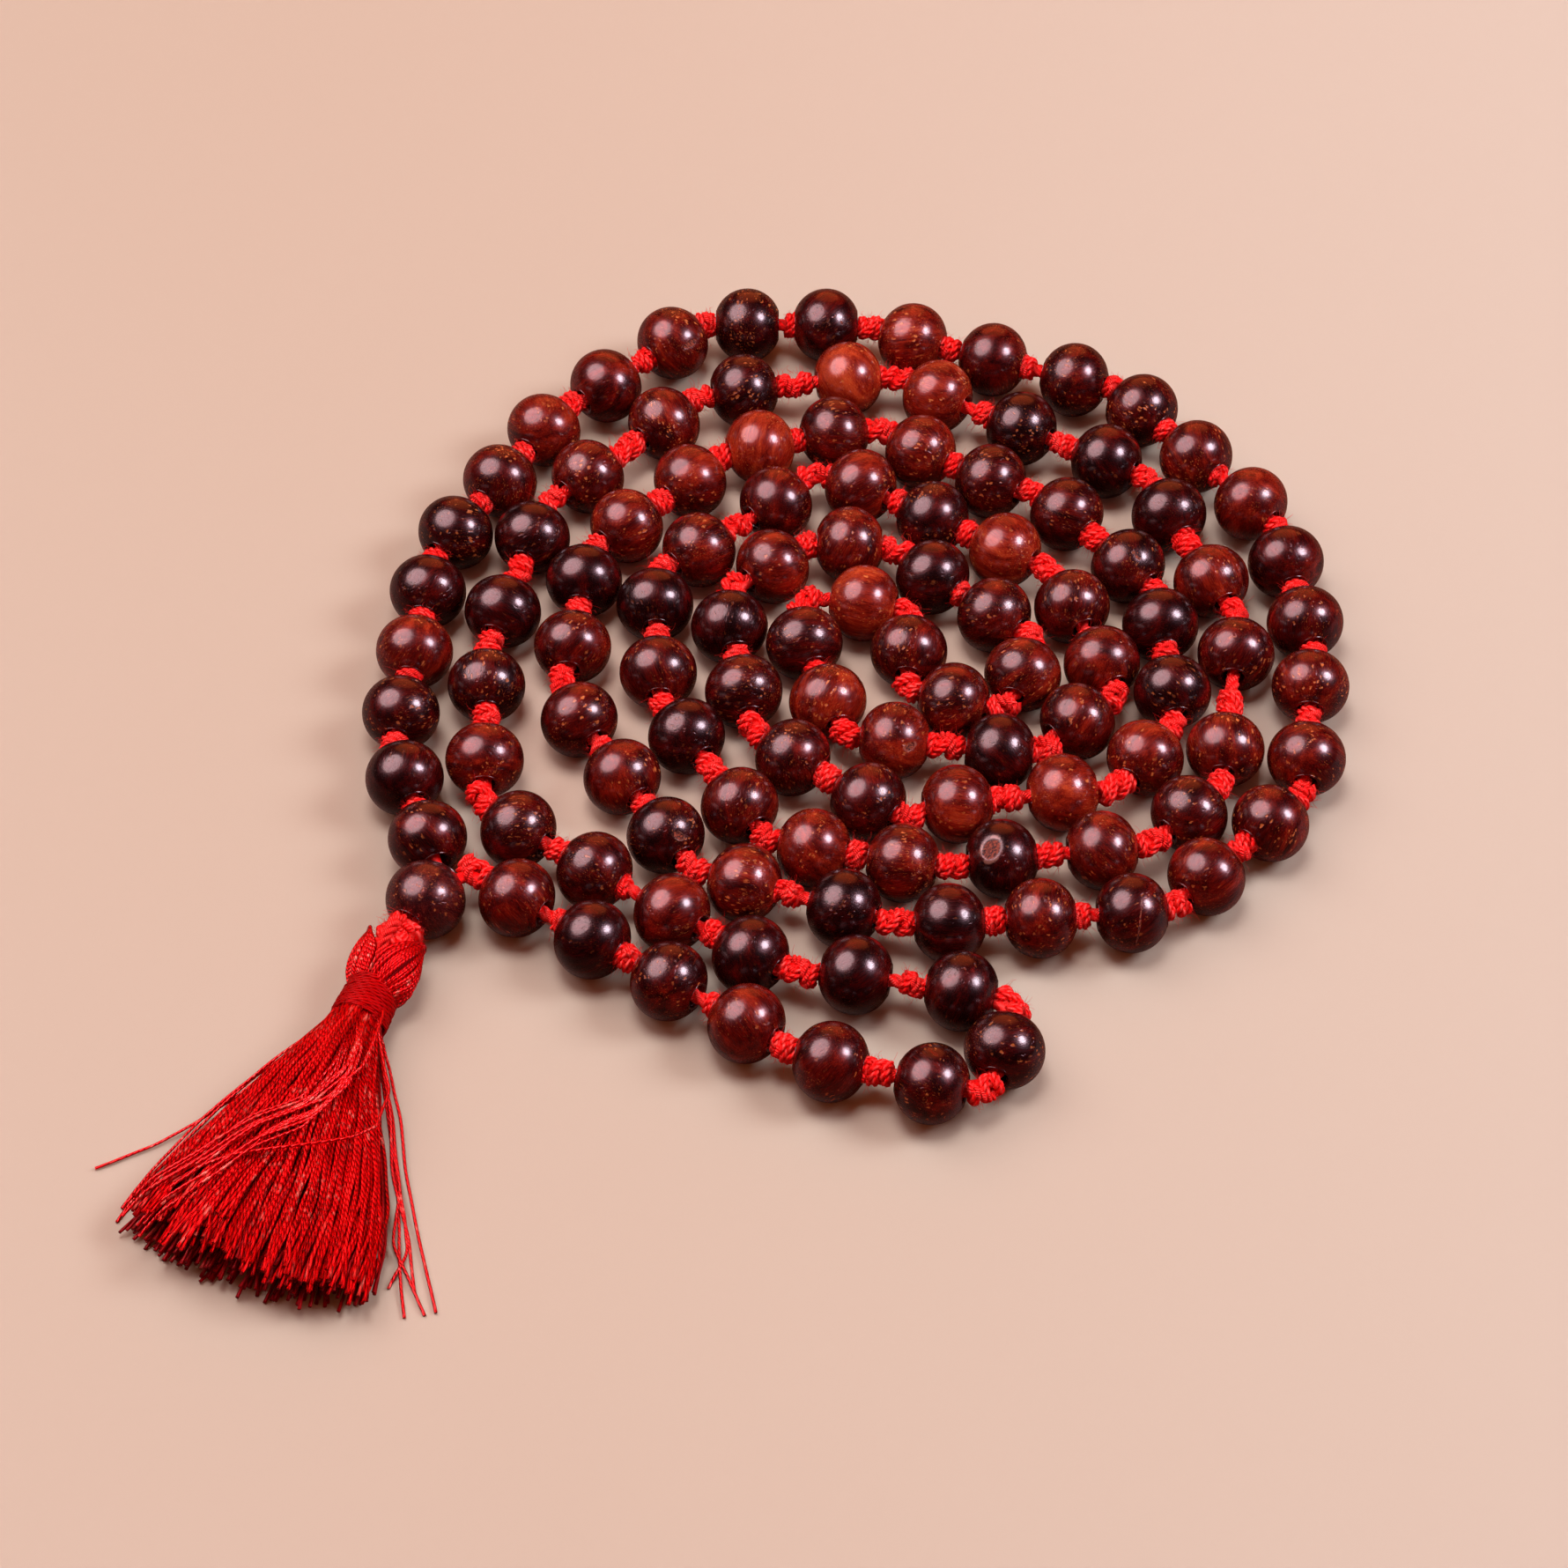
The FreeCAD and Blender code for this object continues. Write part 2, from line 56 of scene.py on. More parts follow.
# the strand in order: each straight run's middle (x, y), heading, beads and spacing
RUNS = [
    (-37.1, -6.3, 109, 2, 8.2),
    (-38.2, 14.4, 83, 3, 8.3),
    (-30.2, 38.2, 59, 3, 8.6),
    (-15.7, 55.3, 42, 2, 9.6),
    (0.3, 61.2, 0, 2, 8.6),
    (22.7, 56.0, -19, 3, 9.2),
    (44.0, 41.7, -51, 3, 8.7),
    (53.4, 22.5, -80, 2, 8.5),
    (53.6, 4.9, -96, 2, 9.7),
    (45.5, -11.7, -135, 2, 9.6),
    (25.4, -20.3, -176, 3, 9.1),
    (1.0, -17.5, 162, 2, 10.4),
    (-16.4, -2.3, 121, 3, 8.8),
    (-21.4, 19.6, 84, 2, 9.1),
    (-13.3, 35.0, 44, 2, 9.2),
    (1.4, 44.1, 14, 2, 8.2),
    (18.3, 40.3, -30, 2, 8.5),
    (33.0, 29.8, -50, 2, 9.6),
    (39.5, 13.5, -85, 2, 9.1),
    (36.7, 0.2, -122, 1, 0.0),
    (22.8, -5.1, -172, 2, 10.8),
    (4.7, -2.6, 143, 2, 9.5),
    (-4.9, 13.4, 100, 2, 8.9),
    (-1.2, 26.1, 38, 1, 0.0),
    (6.9, 29.2, -1, 1, 0.0),
    (18.7, 22.0, -40, 2, 8.2),
    (24.6, 11.3, -109, 1, 0.0),
    (17.4, 7.7, 164, 1, 0.0),
    (12.9, 14.4, 86, 1, 0.0),
    (8.3, 21.0, 169, 1, 0.0),
    (3.3, 11.6, -73, 2, 8.2),
    (16.6, 1.7, -8, 2, 10.8),
    (30.0, 5.0, 37, 1, 0.0),
    (31.4, 16.7, 110, 2, 8.2),
    (15.7, 32.9, 149, 3, 8.8),
    (-4.9, 31.7, -141, 2, 10.4),
    (-13.2, 16.2, -87, 2, 9.3),
    (-7.2, -1.5, -59, 2, 10.6),
    (7.4, -12.4, -12, 2, 9.1),
    (26.8, -12.3, 6, 2, 10.1),
    (40.8, -7.1, 44, 1, 0.0),
    (45.8, 7.7, 82, 2, 12.9),
    (42.7, 28.7, 113, 2, 10.1),
    (25.5, 45.8, 152, 3, 10.1),
    (1.3, 52.3, -171, 2, 11.4),
    (-16.9, 42.7, -136, 2, 11.1),
    (-27.9, 25.0, -105, 2, 10.6),
    (-30.5, 4.9, -89, 2, 9.9),
    (-15.0, -17.0, -34, 4, 9.4),
    (12.2, -28.3, -11, 2, 10.5),
    (21.4, -36.4, -107, 1, 0.0),
    (9.4, -39.1, 165, 2, 10.1),
    (-15.1, -25.5, 146, 4, 9.2),
]
# the guru bead's middle and heading, and how the cord's two ends pass through it
GURU = (-35.6, -18.0, 62)
STRAND_OFFSET = 0.65
RETURN_RISE = 1.2
END_KNOT_BACK = 5.185
TASSEL_HEADING = -110


def placed(x, y, height=CORD_HEIGHT):
    """A point of the plan, in metres in the row's frame."""
    return Vector((x - MIDDLE_X, y - MIDDLE_Y, height)) * MM


def level(degrees):
    """The level direction at a heading."""
    return Vector((cos(radians(degrees)), sin(radians(degrees)), 0))


def linked(name, data):
    """A new object in the scene."""
    piece = bpy.data.objects.new(name, data)
    bpy.context.scene.collection.objects.link(piece)
    return piece


def built(bm, name):
    """What was put together, as a mesh."""
    mesh = bpy.data.meshes.new(name)
    bm.to_mesh(mesh)
    bm.free()
    return mesh


def scatter(chance, spread):
    """A random step in space."""
    return Vector([chance.gauss(0, spread) for _ in range(3)])


def add_part(piece, body, node):
    """Let a piece ride on its body in place of its solid."""
    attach(piece, body)
    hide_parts(node)
    return piece


# ---- camera and light

CAMERA_TILT = 51.09
CAMERA_DISTANCE = 0.5107
CAMERA_LENS = 114.71


def set_camera():
    """Looks down across the table at the middle of the lay-out."""
    data = bpy.data.cameras.new("camera")
    data.sensor_width = 36
    data.lens = CAMERA_LENS
    data.clip_start = 0.01
    camera = linked("camera", data)
    back = Vector((0, -cos(radians(CAMERA_TILT)), sin(radians(CAMERA_TILT))))
    camera.location = placed(0, 0, 0) + back * CAMERA_DISTANCE
    camera.rotation_euler = (radians(90 - CAMERA_TILT), 0, 0)
    bpy.context.scene.camera = camera


def set_lamp(name, towards, distance, width, power, colour, mirrored=True, lighting=True):
    """A round soft lamp that shines at the middle of the table.

    A lamp either lights the pieces or is mirrored in them, so that each can have its own strength."""
    data = bpy.data.lights.new(name, "AREA")
    data.shape = "DISK"
    data.size = width
    data.energy = power
    data.color = colour
    lamp = linked(name, data)
    lamp.location = Vector(towards).normalized() * distance
    lamp.rotation_euler = (-lamp.location).to_track_quat("-Z", "Y").to_euler()
    lamp.visible_glossy = mirrored
    lamp.visible_diffuse = lighting


set_camera()
set_lamp("softbox", (-0.50, 0.36, 0.76), 1.10, 0.90, 3.7, (0.90, 0.89, 0.82), mirrored=False)
set_lamp("overhead_lamp", (-0.05, 0.05, 0.98), 1.10, 0.45, 5.6, (0.90, 0.92, 0.90), mirrored=False)
set_lamp("side_lamp", (0.72, 0.08, 0.68), 1.10, 0.50, 6.0, (0.90, 0.98, 1.0), mirrored=False)
set_lamp("softbox_face", (-0.53, 0.12, 0.84), 0.80, 0.80, 23.5, (1.0, 0.76, 0.76), lighting=False)
set_lamp("side_lamp_face", (0.73, -0.05, 0.69), 0.90, 0.32, 15.0, (0.95, 0.90, 1.0), lighting=False)
set_lamp("warm_reflector", (0.05, 0.86, 0.46), 0.90, 0.76, 3.4, (1.0, 0.17, 0.05), lighting=False)


def light_room():
    """A dim warm room round the table."""
    world = bpy.data.worlds.new("room")
    world.use_nodes = True
    background = world.node_tree.nodes["Background"]
    background.inputs["Color"].default_value = (1.0, 0.26, 0.10, 1)
    background.inputs["Strength"].default_value = 0.30
    world.cycles_visibility.glossy = False
    bpy.context.scene.world = world
    bpy.context.scene.view_settings.view_transform = "Standard"


light_room()


# ---- finishes


class Finish:
    """A material and short ways to add and join its nodes."""

    def __init__(self, name, **surface):
        self.material = bpy.data.materials.new(name)
        self.material.use_nodes = True
        self.nodes = self.material.node_tree.nodes
        self.links = self.material.node_tree.links
        self.surface = self.nodes["Principled BSDF"]
        for socket, value in surface.items():
            self.surface.inputs[socket.replace("_", " ")].default_value = value

    def node(self, kind, sockets=(), **settings):
        """A node with its settings, and its inputs set or joined by name or number."""
        made = self.nodes.new("ShaderNode" + kind)
        for name, value in settings.items():
            setattr(made, name, value)
        for socket, value in dict(sockets).items():
            if isinstance(value, bpy.types.NodeSocket):
                self.links.new(value, made.inputs[socket])
            else:
                made.inputs[socket].default_value = value
        return made

    def stretched(self, source, scale):
        """Coordinates scaled along each axis."""
        return self.node("Mapping", {"Vector": source, "Scale": scale}).outputs["Vector"]

    def noise(self, source, scale, detail=3.0, roughness=0.55, distortion=0.0):
        """Noise from 0 to 1 on stretched coordinates."""
        made = self.node("TexNoise", {
            "Vector": self.stretched(source, scale), "Scale": 1.0, "Detail": detail,
            "Roughness": roughness, "Distortion": distortion,
        })
        return made.outputs["Fac"]

    def window(self, value, low, high, to_low=0.0, to_high=1.0):
        """A value's range mapped smoothly to another, and held there."""
        made = self.node("MapRange", {
            "Value": value, "From Min": low, "From Max": high, "To Min": to_low, "To Max": to_high,
        }, interpolation_type="SMOOTHSTEP")
        return made.outputs["Result"]

    def calc(self, operation, first, second):
        """One step of arithmetic."""
        return self.node("Math", {0: first, 1: second}, operation=operation).outputs[0]

    def times(self, first, second):
        """The product of two values."""
        return self.calc("MULTIPLY", first, second)

    def plus(self, first, second):
        """The sum of two values."""
        return self.calc("ADD", first, second)

    def minus(self, first, second):
        """What is left of a value."""
        return self.calc("SUBTRACT", first, second)

    def vector(self, operation, first, second):
        """One step of arithmetic on vectors."""
        return self.node("VectorMath", {0: first, 1: second}, operation=operation).outputs[0]

    def jitter(self, noisy, amount):
        """A noise colour turned to a shift of up to half the amount each way."""
        centred = self.vector("SUBTRACT", noisy, (0.5, 0.5, 0.5))
        return self.node("VectorMath", {0: centred, 3: amount}, operation="SCALE").outputs[0]

    def attribute(self, name, output="Fac"):
        """What the mesh carries under a name."""
        return self.node("Attribute", attribute_name=name).outputs[output]

    def blend(self, amount, first, second):
        """A mix of two colours."""
        return self.node("Mix", {0: amount, 6: first, 7: second}, data_type="RGBA").outputs[2]

    def ramp(self, value, stops):
        """A colour from a value, through stops of (place, red, green, blue)."""
        made = self.node("ValToRGB", {"Fac": value})
        elements = made.color_ramp.elements
        while len(elements) < len(stops):
            elements.new(0.5)
        for element, (place, *colour) in zip(elements, stops):
            element.position = place
            element.color = (*colour, 1)
        return made.outputs["Color"]

    def bump(self, height, distance, strength=1.0):
        """A surface relief of a real depth in metres."""
        sockets = {"Height": height, "Distance": distance, "Strength": strength}
        return self.node("Bump", sockets).outputs["Normal"]

    def use(self, socket, value):
        """Join a value to the surface."""
        self.links.new(value, self.surface.inputs[socket])


def speckled_pores(f, grain, bent, speckle):
    """Ragged dots that run along the grain, crowded in patches: the dots, their patches and all."""
    cells = f.node("TexVoronoi", {
        "Vector": f.stretched(bent, (0.9, 2.1, 2.1)), "Scale": 1.0, "Randomness": 1.0,
    })
    dots = f.window(cells.outputs["Distance"], 0.16, 0.34, 1.0, 0.0)
    patch = f.window(f.noise(grain, (0.24, 0.30, 0.30), 2.0), 0.45, 0.58)
    chance = f.window(f.node("SeparateColor", {0: cells.outputs["Color"]}).outputs[0], 0.25, 0.5)
    pores = f.times(f.times(dots, patch), f.times(chance, speckle))
    dust = f.window(f.noise(bent, (2.6, 6.5, 6.5), 2.0), 0.60, 0.70)
    dusted = f.window(f.noise(grain, (0.30, 0.42, 0.42), 2.0, 0.6), 0.46, 0.62)
    dust = f.times(f.times(dust, dusted), f.times(speckle, 0.75))
    return f.times(dots, patch), f.calc("MAXIMUM", pores, dust)


def distance_from_mark(f, grain, ragged):
    """How far a point lies from its bead's mark, 1 at the edge of the mark."""
    off = f.vector("SUBTRACT", grain, f.attribute("mark_place", "Vector"))
    off = f.vector("ADD", off, f.jitter(ragged, 0.24))
    apart = f.node("VectorMath", {0: off, 1: off}, operation="DOT_PRODUCT").outputs["Value"]
    apart = f.times(apart, 0.03)
    for side in ("mark_wide", "mark_long"):
        side = f.node("VectorMath", {0: off, 1: f.attribute(side, "Vector")}, operation="DOT_PRODUCT")
        apart = f.plus(apart, f.times(side.outputs["Value"], side.outputs["Value"]))
    return apart


def chipped(f, grain, ragged, wood):
    """The wood with a chip, crack or pit left on single beads, down to raw wood, and where it is."""
    apart = distance_from_mark(f, grain, ragged)
    pit = f.window(apart, 0.62, 1.0, 1.0, 0.0)
    rim = f.times(f.window(apart, 0.9, 1.15), f.window(apart, 1.3, 1.9, 0.6, 0.0))
    rim = f.times(rim, f.window(f.noise(grain, (0.9, 0.9, 0.9)), 0.42, 0.60))
    raw = f.window(f.noise(grain, (1.2, 5.0, 5.0), 3.0, 0.7), 0.38, 0.62)
    raw = f.blend(raw, (0.012, 0.001, 0.001, 1), (0.36, 0.060, 0.022, 1))
    wood = f.blend(rim, wood, (0.40, 0.17, 0.14, 1))
    return f.blend(pit, wood, raw), pit


def rosewood(name, stops, stripes):
    """Polished rosewood: streaks and pores that run along each bead's own grain."""
    f = Finish(
        name, Specular_IOR_Level=0.24, Specular_Tint=(1.0, 0.60, 0.68, 1), IOR=1.5,
        Coat_Weight=0.55, Coat_Roughness=0.08, Coat_IOR=1.30,
    )
    grain = f.attribute("grain", "Vector")
    bands = f.noise(grain, (0.12, 0.50, 0.32), 3.0, 0.6, 0.8)
    streaks = f.noise(grain, (0.30, 2.4, 1.9), 4.0, 0.65, 0.4)
    fibres = f.noise(grain, (0.9, 11.0, 11.0), 2.0)
    shade = f.plus(f.times(bands, 1.35 - stripes), f.times(streaks, stripes))
    shade = f.minus(shade, 0.13)
    shade = f.plus(shade, f.times(f.minus(fibres, 0.5), 0.42))
    shade = f.plus(shade, f.times(f.minus(f.attribute("tone"), 0.4), 0.62))
    wood = f.ramp(shade, stops)
    ragged = f.node("TexNoise", {"Vector": grain, "Scale": 2.2, "Detail": 2.0}).outputs["Color"]
    bent = f.vector("ADD", grain, f.jitter(ragged, 0.55))
    holes, flecks = speckled_pores(f, grain, bent, f.attribute("speckle"))
    orange = f.blend(f.noise(grain, (1.5, 1.5, 1.5)), (0.42, 0.045, 0.010, 1), (0.95, 0.30, 0.09, 1))
    wood, pit = chipped(f, grain, ragged, f.blend(flecks, wood, orange))
    f.use("Base Color", wood)
    # the polish, worn in places and gone in a pit
    worn = f.window(f.noise(grain, (2.2, 5.0, 5.0), 4.0, 0.75), 0.30, 0.62, 0.34, 0.64)
    f.use("Coat Weight", f.times(worn, f.minus(1.0, pit)))
    haze = f.window(f.noise(grain, (1.3, 9.0, 9.0), 4.0, 0.7), 0.3, 0.8, 0.22, 0.32)
    f.use("Roughness", f.plus(haze, f.times(pit, 0.45)))
    scratches = f.noise(grain, (1.1, 7.0, 7.0), 5.0, 0.7)
    relief = f.minus(f.times(scratches, 0.5), holes)
    relief = f.minus(relief, f.times(pit, 2.5))
    f.use("Normal", f.bump(relief, 0.00006, 0.45))
    f.use("Coat Normal", f.bump(scratches, 0.00002, 0.30))
    return f.material


def yarn(name, stops, plies, relief, glint_paint=0.0, pace=100.0, vary=0.12, **surface):
    """Twisted thread: lines between the plies, painted darker as painted shade, wind round along its
    length, with painted highlights as short pinkish dashes.

    plies is how many lines lie along a thread, relief their depth in metres, glint_paint the strength of
    the painted highlight dashes, pace how many there are, and vary how far single threads differ in tone."""
    f = Finish(name, Specular_Tint=(1.0, 0.04, 0.06, 1), **surface)
    split = f.node("SeparateXYZ", {0: f.node("UVMap", uv_map="UVMap").outputs["UV"]})
    wound = f.times(split.outputs[0], plies)
    turn = f.plus(f.times(split.outputs[1], 2.0), wound)
    ridge = f.calc("ABSOLUTE", f.calc("SINE", f.times(turn, pi), 0.0), 0.0)
    place = f.node("TexCoord").outputs["Object"]
    thread = f.attribute("thread")
    fluff = f.noise(place, (2600, 2600, 2600), 4.0, 0.7)
    tint = f.noise(place, (420, 420, 420), 2.0)
    # painted shade and highlight: the colour runs from dark in the grooves between the plies to light on
    # their crowns
    value = f.plus(f.times(ridge, 0.45), f.times(fluff, 0.35))
    value = f.plus(value, f.times(tint, 0.25))
    value = f.plus(value, f.times(thread, vary))
    colour = f.ramp(value, stops)
    # painted highlight: short pinkish dashes in the colour stand in for glints of light on the twisted
    # thread
    if glint_paint:
        along = f.times(split.outputs[0], pace)
        spot = f.node("CombineXYZ", {0: along, 1: f.times(thread, 90.0)}).outputs[0]
        painted_glint = f.node("TexNoise", {"Vector": spot, "Scale": 1.0, "Detail": 1.0}).outputs["Fac"]
        patch = f.window(f.noise(place, (160, 160, 160), 1.0), 0.35, 0.60)
        painted_glint = f.times(f.window(painted_glint, 0.57, 0.72), f.times(patch, glint_paint))
        colour = f.blend(painted_glint, colour, (1.0, 0.26, 0.21, 1))
    f.use("Base Color", colour)
    height = f.plus(ridge, f.times(fluff, 0.5))
    f.use("Normal", f.bump(height, relief))
    f.use("Coat Normal", f.bump(height, relief * 0.8))
    return f.material


STRAND_MIDDLE = (0.010, 0.018, 0)


def pale_table_top():
    """A smooth pale table top with a pool of painted light among the beads, darker to bounced light so that
    it doesn't veil the polish.
    """
    f = Finish("table_top", Roughness=0.6, Specular_IOR_Level=0.25)
    place = f.node("TexCoord").outputs["Object"]
    across = f.node("SeparateXYZ", {0: place})
    spread = f.plus(across.outputs[0], f.times(across.outputs[1], 0.15))
    paler = f.window(spread, -0.06, 0.17)
    cloud = f.times(f.minus(f.noise(place, (7, 7, 7), 3.0), 0.5), 0.25)
    tone = f.plus(paler, cloud)
    pale = f.blend(tone, (0.612, 0.484, 0.399, 1), (0.674, 0.582, 0.518, 1))
    # painted light: the table top is painted paler and warmer among the beads, standing in for the red
    # light that their wood throws on it
    reach = f.node("VectorMath", {0: place, 1: STRAND_MIDDLE}, operation="DISTANCE").outputs["Value"]
    pale = f.blend(f.window(reach, 0.030, 0.048, 1.0, 0.0), pale, (0.84, 0.62, 0.51, 1))
    seen = f.node("LightPath").outputs["Is Camera Ray"]
    f.use("Base Color", f.blend(seen, (0.17, 0.06, 0.03, 1), pale))
    return f.material


# colours by value, from dark to light: place, red, green, blue
BEAD_STOPS = [
    (0.24, 0.008, 0.0002, 0.0004), (0.42, 0.036, 0.0006, 0.0008), (0.58, 0.110, 0.0030, 0.0016),
    (0.76, 0.290, 0.0150, 0.0050), (0.98, 0.560, 0.0620, 0.0180),
]
GURU_STOPS = [
    (0.25, 0.014, 0.0012, 0.0022), (0.45, 0.045, 0.004, 0.005), (0.62, 0.110, 0.010, 0.008),
    (0.80, 0.260, 0.030, 0.014), (0.98, 0.380, 0.070, 0.030),
]
COTTON_STOPS = [
    (0.22, 0.42, 0, 0), (0.42, 0.98, 0.001, 0.001),
    (0.66, 1.00, 0.010, 0.010), (0.92, 1.0, 0.10, 0.09),
]
SILK_STOPS = [
    (0.36, 0.05, 0, 0), (0.68, 0.31, 0, 0),
    (0.97, 0.66, 0, 0.001), (1.0, 0.8, 0.01, 0.01),
]
LOOP_STOPS = [
    (0.26, 0.08, 0, 0), (0.56, 0.46, 0, 0.001),
    (0.86, 0.78, 0.001, 0.002), (1.0, 0.9, 0.02, 0.02),
]
# painted shade: a darker copy of the thread's colours, for threads lying in the shade inside the loops and
# under the fan's top layer
SHADE_PAINTED_STOPS = [
    (0.14, 0.04, 0, 0), (0.40, 0.16, 0, 0),
    (0.80, 0.30, 0, 0.001), (1.0, 0.4, 0.01, 0.01),
]
BINDING_STOPS = [
    (0.10, 0.12, 0, 0), (0.40, 0.39, 0, 0),
    (0.85, 0.64, 0, 0.001), (1.0, 0.7, 0.01, 0.01),
]
bead_wood = rosewood("polished_rosewood", BEAD_STOPS, 0.45)
guru_wood = rosewood("dark_striped_rosewood", GURU_STOPS, 0.75)
cotton = yarn(
    "matte_red_cotton", COTTON_STOPS, 30.0, 0.00010,
    Roughness=0.60, Specular_IOR_Level=0.6, Metallic=0.25, Coat_Weight=0.05, Coat_Roughness=0.40,
    Sheen_Weight=0.9, Sheen_Roughness=0.5, Sheen_Tint=(1.0, 0.04, 0.03, 1),
    Subsurface_Weight=0.35, Subsurface_Scale=0.0005, Subsurface_Radius=(1.0, 0.03, 0.02),
)
silk = yarn(
    "shiny_red_thread", SILK_STOPS, 46.0, 0.00006, glint_paint=0.30, pace=26.0, vary=0.34,
    Roughness=0.32, Specular_IOR_Level=0.15, Metallic=0.16,
)
loop_silk = yarn(
    "looped_red_thread", LOOP_STOPS, 16.0, 0.00007, glint_paint=0.70, pace=12.0,
    Roughness=0.30, Specular_IOR_Level=0.4, Metallic=0.22, Coat_Weight=0.05, Coat_Roughness=0.12,
)
glossy_silk = yarn(
    "shiniest_red_thread", LOOP_STOPS, 46.0, 0.00006, glint_paint=0.60, pace=26.0,
    Roughness=0.30, Specular_IOR_Level=1.0, Metallic=0.20, Coat_Weight=0.12, Coat_Roughness=0.12,
)
# painted shade: the same thread painted darker for where it lies in shade
shade_painted_silk = yarn(
    "shade_painted_red_thread", SHADE_PAINTED_STOPS, 46.0, 0.00005, glint_paint=0.15, pace=30.0,
    Roughness=0.40, Specular_IOR_Level=0.5,
)
binding_silk = yarn(
    "wound_dark_thread", BINDING_STOPS, 420.0, 0.00006, Roughness=0.45, Specular_IOR_Level=0.25,
)


def floor():
    """The table that the strand lies on."""
    bm = bmesh.new()
    bmesh.ops.create_grid(bm, x_segments=1, y_segments=1, size=2.0)
    mesh = built(bm, "table")
    mesh.materials.append(pale_table_top())
    linked("table", mesh)


floor()

# ---- beads

STEPS_ROUND = 72
BARREL_STEPS = 26
# the easing of a bore's mouth: past the end face, and out from the bore
MOUTH = ((0.02, 0.55), (-0.03, 0.30), (-0.12, 0.12), (-0.30, 0.02), (-0.8, 0.0))


def bead_outline(diameter, length, face, bore):
    """Half of a turned bead's section, as (along, out): barrel, eased rims, mouths, bore."""
    half = length / 2
    sagitta = (diameter - face) / 2
    radius = (half**2 + sagitta**2) / (2 * sagitta)
    centre = diameter / 2 - radius
    outline = []
    for step in range(BARREL_STEPS + 1):
        along = -half * cos(pi * step / BARREL_STEPS)
        outline.append((along, centre + sqrt(radius**2 - along**2)))
    outline += [(half + past, bore / 2 + out) for past, out in MOUTH]
    outline += [(-half - past, bore / 2 + out) for past, out in reversed(MOUTH)]
    return outline


def turned(outline):
    """The bead that an outline sweeps once round X, as a mesh."""
    bm = bmesh.new()
    corners = [bm.verts.new((along, out, 0)) for along, out in outline]
    edges = [bm.edges.new(pair) for pair in zip(corners, corners[1:] + corners[:1])]
    bmesh.ops.spin(
        bm, geom=corners + edges, cent=(0, 0, 0), axis=(1, 0, 0), dvec=(0, 0, 0),
        angle=2 * pi, steps=STEPS_ROUND, use_merge=True, use_duplicate=False,
    )
    bmesh.ops.remove_doubles(bm, verts=bm.verts, dist=0.001)
    bmesh.ops.recalc_face_normals(bm, faces=bm.faces)
    return built(bm, "turned_bead")


# the beads by the shade of their wood, from the lightest; the rest are near black
SHADES = {
    0.80: (67, 88),
    0.72: (37, 46, 59),
    0.57: (8, 13, 18, 47, 61, 62, 76, 87),
    0.48: (4, 10, 29, 35, 36, 39, 45, 52, 53, 56, 69, 79, 81, 83, 91, 95),
    0.39: (9, 14, 17, 21, 22, 23, 24, 26, 31, 33, 57, 64, 65, 66, 71, 75, 77, 82, 90, 98, 105, 108),
    0.28: (
        0, 1, 7, 12, 15, 16, 19, 20, 25, 32, 38, 40, 41, 42, 48, 49, 50, 55, 58, 60, 70, 73, 80,
        96, 97, 103, 104, 106,
    ),
}
TONES = {number: shade for shade, numbers in SHADES.items() for number in numbers}
DARK_TONE = 0.12
# beads with most orange flecks, and with none or hardly any
FLECKED = (
    4, 7, 8, 10, 13, 16, 17, 21, 22, 23, 26, 29, 31, 32, 35, 36, 37, 39, 45, 46, 56, 59, 61, 67,
    69, 76, 77, 81, 87, 88, 90, 91, 95,
)
PLAIN = (2, 5, 9, 12, 19, 27, 28, 34, 43, 51, 54, 63, 72, 74, 78, 84, 85, 92, 93, 99, 100, 101, 107)
# marks left on single beads, as they lie seen from the near side of the table: across and up
# in the bead's radii, half width and half length, the length's slant, and depth
MARKS = {
    78: (-0.31, 0.26, 0.95, 1.25, 60, 0.24), 25: (0.14, -0.22, 0.09, 2.00, 86, 0.05),
    42: (0.17, 0.27, 0.28, 0.62, -60, 0.12), 12: (0.42, 0.00, 0.11, 0.26, -50, 0.08),
    62: (0.38, -0.15, 0.42, 0.62, 20, 0.12), 30: (0.35, 0.00, 0.36, 0.62, -25, 0.14),
    10: (0.50, -0.10, 0.40, 0.92, 30, 0.05), 0: (0.46, 0.11, 0.10, 0.34, 50, 0.05),
}


def marked(mark, upright, turn, origin):
    """A mark's place in the grain's coordinates, and its width and length as directions."""
    if mark is None:
        return origin + Vector((0, 0, 100)), Vector((0, 0, 0)), Vector((0, 0, 0))
    across, up, half_width, half_length, slant, _ = mark
    tilt = radians(CAMERA_TILT)
    right, back = Vector((1, 0, 0)), Vector((0, -cos(tilt), sin(tilt)))
    raised = back.cross(right)
    towards = right * across + raised * up + back * sqrt(1 - across**2 - up**2)
    lengthwise = right * cos(radians(slant)) + raised * sin(radians(slant))
    lengthwise = (lengthwise - lengthwise.project(towards)).normalized()
    sideways = towards.cross(lengthwise)
    into = turn @ upright.to_3x3().inverted()
    place = into @ towards * BEAD_DIAMETER / 2 + origin
    return place, into @ sideways / half_width, into @ lengthwise / half_length


def random_turn(chance):
    """Any orientation in space."""
    axis = scatter(chance, 1).normalized()
    return Matrix.Rotation(chance.uniform(0, 2 * pi), 3, axis)


